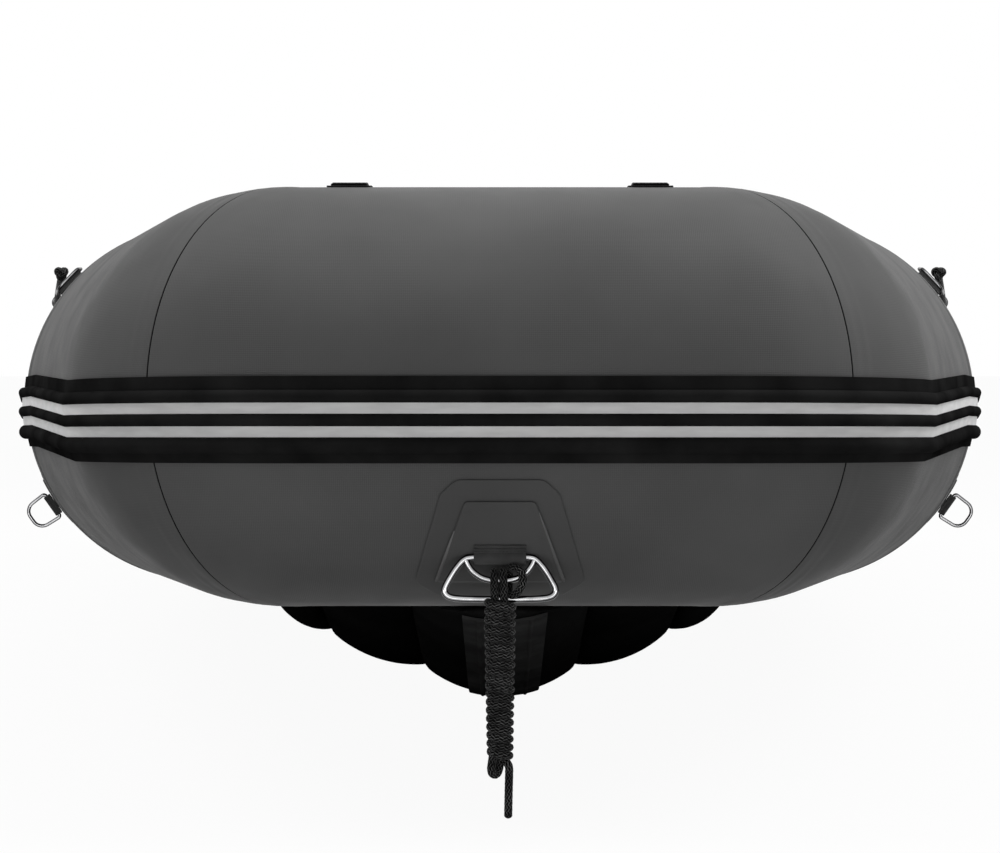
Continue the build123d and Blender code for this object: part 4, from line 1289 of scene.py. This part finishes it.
# Apron at the transom: first and last distance aft, half width, lowest height, how far its sides and its back
# edge rise, and its waves
APRON_RUN = (2.5612, 2.6185)
APRON_HALF = 0.318
APRON_LOW_Z = 0.062
APRON_SIDE_RISE = 0.052
APRON_BACK_RISE = 0.010
APRON_WAVES = 0.004
# Apron at the bow: first and last distance aft, half width, the height that the rays start from, the cloth's
# height beside the lobes, its gap over them and the passes that smooth it
DRAPE_RUN = (0.130, 0.372)
DRAPE_HALF = 0.190
DRAPE_FROM_Z = 0.60
DRAPE_Z = 0.250
DRAPE_GAP = 0.002
DRAPE_PASSES = 14


def two_layers(rows):
    """A sheet of cloth from rows of points on its underside, its rim closed."""
    deep, across = len(rows), len(rows[0])
    lower = flat(rows)
    half = len(lower)
    under = grid_faces(deep, across)
    rim = list(range(across)) + [r * across + across - 1 for r in range(1, deep)]
    rim += list(range(half - 2, half - across - 1, -1)) + [r * across for r in range(deep - 2, 0, -1)]
    faces = under + [tuple(half + k for k in reversed(face)) for face in under]
    faces += [(a, b, half + b, half + a) for a, b in zip(rim, rim[1:] + rim[:1])]
    return lower + [p + Vector((0, 0, SKIRT_T)) for p in lower], faces


def skirts():
    stations = np.array(SKIRT_STATIONS)
    rows, uvs = [], []
    area, before = 0.0, None
    for y in np.linspace(*SKIRT_RUN).tolist():
        inner_z = float(np.interp(y, stations[:, 0], stations[:, 1])) - SKIRT_T
        axis = axis_at(y)[0]
        outer = world((axis.x - SKIRT_IN, y, -math.sqrt((TUBE_R + 0.001) ** 2 - SKIRT_IN ** 2)))
        inner = Vector((SKIRT_SIDE, outer.y, inner_z))
        row = []
        shares = [k / (SKIRT_ACROSS - 1) for k in range(SKIRT_ACROSS)]
        for share in shares:
            ripple = SKIRT_RIPPLE * noise.noise(Vector((y * 24, share * 2, 5.0)))
            rise = (SKIRT_PUFF + ripple) * math.sin(math.pi * share) - SKIRT_T
            row.append(inner.lerp(outer, share) + Vector((0, 0, rise)))
        rows.append(row)
        uvs.append([(y, 0.15 * share) for share in shares])
        width = (outer - inner).length
        if before is not None:
            area += (width + before[1]) / 2 * (outer.y - before[0])
        before = (outer.y, width)
    verts, faces = two_layers(rows)
    for side, shown in (("stbd", verts), ("port", mirrored(verts))):
        obj = piece("floor_skirt_cloth_" + side, "floor_skirt", (shown, faces, flat(uvs) * 2), FLOOR)


skirts()


def plan_grid(front, back, half_x, across, deep):
    """Rows of points over the plan between two distances aft, at height 0."""
    aft = [front + (back - front) * k / (deep - 1) + SHIFT_Y for k in range(deep)]
    return [[Vector((half_x * (2 * j / (across - 1) - 1), y, 0)) for j in range(across)] for y in aft]


def apron_object(name, rows):
    verts, faces = two_layers(rows)
    return new_object(name, (verts, faces, [(p.x, p.y) for p in verts]), FLOOR)


def floor_apron():
    """Cloth that closes the gap between the lobes' ends and the transom."""
    rows = plan_grid(*APRON_RUN, APRON_HALF, 61, 9)
    for k, row in enumerate(rows):
        share = k / (len(rows) - 1)
        for p in row:
            sag = APRON_WAVES * noise.noise(Vector((p.x * 12, share * 2, 8.0))) * math.sin(math.pi * share)
            rise = APRON_SIDE_RISE * (p.x / APRON_HALF) ** 2
            p.z = APRON_LOW_Z + rise + APRON_BACK_RISE * share + sag
    apron_object("floor_apron", rows)


floor_apron()


def bow_apron():
    """Cloth that ties the lobes' front ends to the bow tube, draped over the lobes."""
    lobes = []
    for part in ("centre", "inner"):
        mesh = bpy.data.objects["floor_lobe_" + part].data
        points = [v.co.copy() for v in mesh.vertices]
        lobes.append(BVHTree.FromPolygons(points, [tuple(face.vertices) for face in mesh.polygons]))
    rows = plan_grid(*DRAPE_RUN, DRAPE_HALF, 51, 33)
    floor_z = np.full((len(rows), len(rows[0])), np.nan)
    for k, row in enumerate(rows):
        for j, p in enumerate(row):
            hits = [tree.ray_cast(Vector((p.x, p.y, DRAPE_FROM_Z)), Vector((0, 0, -1)))[0] for tree in lobes]
            floor_z[k, j] = max([hit.z for hit in hits if hit], default=np.nan)
    bare = np.isnan(floor_z)
    low = np.where(bare, 0.0, floor_z + DRAPE_GAP)
    cloth = np.where(bare, DRAPE_Z, low)
    for _ in range(DRAPE_PASSES):
        wide = np.pad(cloth, 1, mode="edge")
        cloth = (wide[:-2, 1:-1] + wide[2:, 1:-1] + wide[1:-1, :-2] + wide[1:-1, 2:]) / 4
        cloth = np.maximum(cloth, low)
    for row, heights in zip(rows, cloth.tolist()):
        for p, height in zip(row, heights):
            p.z = height
    apron_object("bow_apron", rows)


bow_apron()


# Stern cones: cloth wound in tapered gores, with a tape round the joint
CONE_GORES = 4
CONE_LAP = 0.0010
CONE_GATHER = 0.0008
CONE_ROWS = 26


def cone_point(aft, radius, phi):
    """Point round the starboard cone's axis, at a distance aft of the cone's start."""
    y = CONE_Y + aft + SHIFT_Y
    return Vector((HALF_BEAM + radius * math.cos(phi), y, AXIS_Z + radius * math.sin(phi)))


def stern_cones():
    rows, uvs = [], []
    stations = [edge[0] for edge in TAPE_EDGE[:3]]
    stations += [stations[-1] + (CONE_LEN - stations[-1]) * k / CONE_ROWS for k in range(1, CONE_ROWS + 1)]
    slope = math.atan2(TUBE_R - CONE_END_R, CONE_LEN)
    for s in stations:
        base = TUBE_R + (CONE_END_R - TUBE_R) * s / CONE_LEN
        row, row_uv = [], []
        for phi in SKIN_ANGLES:
            share = (phi / math.tau * CONE_GORES + 0.25) % 1
            lap = CONE_LAP if share < 0.05 else 0.0
            gather = CONE_GATHER * noise.noise(Vector((math.cos(phi) * 9, math.sin(phi) * 9, s * 6 + 4)))
            near_end = math.exp(-(CONE_LEN - s) / 0.05) + math.exp(-s / 0.04)
            r = base + (step_height(TAPE_EDGE, s) + lap + gather * near_end) * math.cos(slope)
            row.append(cone_point(s, r, phi))
            row_uv.append((s, base * half_turn(phi)))
        rows.append(row)
        uvs.append(row_uv)
    faces = grid_faces(len(rows), AROUND, closed_columns=True)
    faces.append(tuple(range((len(rows) - 1) * AROUND, len(rows) * AROUND)))
    pair("stern_cone_skin", "stern_cone", (flat(rows), faces, flat(uvs)), TUBE)


stern_cones()


# Moulded caps on the cones' ends, with ribs round the dome
CAP_AROUND = 120
CAP_LEN = 0.040
CAP_WALL = 0.004
CAP_SKIRT = 0.045
# Lip round the skirt's front edge: distance aft of it and height over the cone
CAP_LIP = [(0.0, 0.0), (-0.0004, 0.0012), (0.0, 0.0034), (0.0014, 0.0046), (0.005, 0.0040), (0.0075, 0.0024),
           (0.010, 0.0020)]


def stern_caps():
    slope = (CONE_END_R - TUBE_R) / CONE_LEN
    start = CONE_LEN - CAP_SKIRT
    lip = TUBE_R + slope * start + GAP
    profile = [(start + aft, lip + rise) for aft, rise in CAP_LIP]
    edge = CONE_END_R + CAP_WALL
    profile += [(CONE_LEN - 0.020, edge + 0.0052), (CONE_LEN - 0.008, edge + 0.0020), (CONE_LEN - 0.002, edge)]
    for k in range(1, 30):
        share = k / 30
        along = CONE_LEN + CAP_LEN * math.sin(share * math.pi / 2)
        r = edge * math.cos(share * math.pi / 2) ** 0.62
        rib = 0.0011 * max(0.0, math.cos(math.tau * (r - 0.012) / 0.021)) ** 3 if r < 0.105 else 0.0
        profile.append((along - 0.0011 + rib, r))
    verts, uvs = [], []
    for along, r in profile:
        for k in range(CAP_AROUND):
            phi = math.tau * k / CAP_AROUND
            verts.append(cone_point(along, r, phi))
            uvs.append((along, r))
    faces = grid_faces(len(profile), CAP_AROUND, closed_columns=True)
    faces.append(tuple(range((len(profile) - 1) * CAP_AROUND, len(profile) * CAP_AROUND)))
    pair("stern_cap_moulding", "stern_cap", (verts, faces, uvs), PLASTIC)


stern_caps()


# Finishes of the nodes whose shape stays
NODE_FINISH = {
    "strake_bow": RUBBER, "strake_side": RUBBER, "stripe_bow": STRIPE, "stripe_side": STRIPE,
    "keel_guard": GUARD, "transom": BOARD, "motor_plate": PLASTIC, "transom_holder": RUBBER,
    "seat_board": SEAT, "rowlock_base": PLASTIC, "rowlock_port": PLASTIC, "rowlock_stbd": PLASTIC,
    "shoulder_ring": STEEL, "line_ring": STEEL, "quarter_ring": STEEL,
    "valve": PLASTIC, "drain": PLASTIC, "stern_handle": PLASTIC,
}


WELD_DIST = 0.000002
CREASE_DEG = 28.0


def dress_nodes():
    """Gives each shown node its finish, and smooth shading without touching its points."""
    for name, material in NODE_FINISH.items():
        obj = frame["nodes"][name]
        obj.data.materials.clear()
        obj.data.materials.append(material)
        obj.data.polygons.foreach_set("use_smooth", [True] * len(obj.data.polygons))
        weld = obj.modifiers.new("weld", "WELD")
        weld.merge_threshold = WELD_DIST
        split = obj.modifiers.new("crease", "EDGE_SPLIT")
        split.split_angle = math.radians(CREASE_DEG)
        even = obj.modifiers.new("even", "WEIGHTED_NORMAL")
        even.mode = "FACE_AREA_WITH_ANGLE"
        even.weight = 80


dress_nodes()


# Stage, camera and light


def white_when_seen(tree):
    """Factor 1 for rays from the camera, from gloss and through glass."""
    rays = tree.node("ShaderNodeLightPath").outputs
    through = tree.maths("MAXIMUM", rays["Is Camera Ray"], rays["Is Transmission Ray"])
    return tree.maths("MAXIMUM", through, rays["Is Glossy Ray"])


# Half the studio floor's side, its grey and glow, and how much of the shadow is seen on it
FLOOR_HALF = 40.0
FLOOR_GREY = 0.36
FLOOR_GLOW = 1.05
SHADOW_SHARE = 0.10
# The sky's grey at the horizon and overhead
SKY_LOW = 0.035
SKY_HIGH = 0.62


def stage():
    verts = [(x * FLOOR_HALF, y * FLOOR_HALF, 0) for x, y in ((-1, -1), (1, -1), (1, 1), (-1, 1))]
    mesh = bpy.data.meshes.new("studio_floor")
    mesh.from_pydata(verts, [], [(0, 1, 2, 3)])
    floor = bpy.data.objects.new("studio_floor", mesh)
    bpy.context.scene.collection.objects.link(floor)
    material = bpy.data.materials.new("studio_floor")
    material.use_nodes = True
    tree = Tree(material.node_tree)
    diffuse = tree.nodes["Principled BSDF"]
    diffuse.inputs["Base Color"].default_value = (FLOOR_GREY, FLOOR_GREY, FLOOR_GREY, 1)
    diffuse.inputs["Roughness"].default_value = 0.9
    glow = tree.node("ShaderNodeEmission", Strength=FLOOR_GLOW)
    share = tree.maths("MULTIPLY", white_when_seen(tree), 1 - SHADOW_SHARE)
    tree.links.new(tree.mix(share, diffuse, glow), tree.nodes["Material Output"].inputs[0])
    mesh.materials.append(material)


def studio_world():
    """White behind the object, and a soft sky that is brighter overhead for what lights it."""
    studio = bpy.data.worlds.new("studio")
    bpy.context.scene.world = studio
    studio.use_nodes = True
    tree = Tree(studio.node_tree)
    tree.nodes.clear()
    out = tree.node("ShaderNodeOutputWorld")
    coords = tree.node("ShaderNodeTexCoord")
    split = tree.node("ShaderNodeSeparateXYZ", {"Vector": coords.outputs["Generated"]})
    sky = tree.ramp(split.outputs["Z"], (SKY_LOW,) * 3, (SKY_HIGH,) * 3, 0.0, 0.9)
    light = tree.node("ShaderNodeBackground", {"Color": sky}, Strength=1.0)
    white = tree.node("ShaderNodeBackground", Color=(1, 1, 1, 1))
    tree.links.new(tree.mix(white_when_seen(tree), light, white), out.inputs[0])


def softbox(name, place, target, width, height, power):
    data = bpy.data.lights.new(name, "AREA")
    data.shape = "RECTANGLE"
    data.size = width
    data.size_y = height
    data.energy = power
    lamp = bpy.data.objects.new(name, data)
    bpy.context.scene.collection.objects.link(lamp)
    lamp.location = place
    lamp.rotation_euler = (Vector(target) - Vector(place)).to_track_quat("-Z", "Y").to_euler()
    lamp.visible_camera = name != "low_front"


# Name, place, target, width, height and watts of each lamp
LAMPS = (
    ("overhead", (0.5, -0.6, 4.2), (0, -0.6, 0.3), 4.0, 4.0, 55),
    ("right", (3.3, -0.8, 4.2), (0, -0.9, 0.4), 2.0, 2.4, 160),
    ("left", (-3.3, -0.7, 4.2), (0, -0.9, 0.4), 2.0, 2.4, 120),
    ("low_front", (0, -2.5, 0.03), (0, -1.3, 0.45), 2.0, 0.2, 3.6),
)


def camera():
    data = bpy.data.cameras.new("camera")
    data.sensor_width = SENSOR_MM
    data.lens = FOCAL_PX * SENSOR_MM / PHOTO_W
    data.clip_start = 0.05
    data.clip_end = 100
    cam = bpy.data.objects.new("camera", data)
    bpy.context.scene.collection.objects.link(cam)
    down = math.atan((PHOTO_H / 2 - HORIZON_ROW) / FOCAL_PX)
    cam.location = (0, SHIFT_Y - CAMERA_AHEAD, CAMERA_Z)
    cam.rotation_euler = (math.pi / 2 - down, 0, 0)
    bpy.context.scene.camera = cam


stage()
studio_world()
for lamp_row in LAMPS:
    softbox(*lamp_row)
camera()
bpy.context.scene.view_settings.view_transform = "Standard"
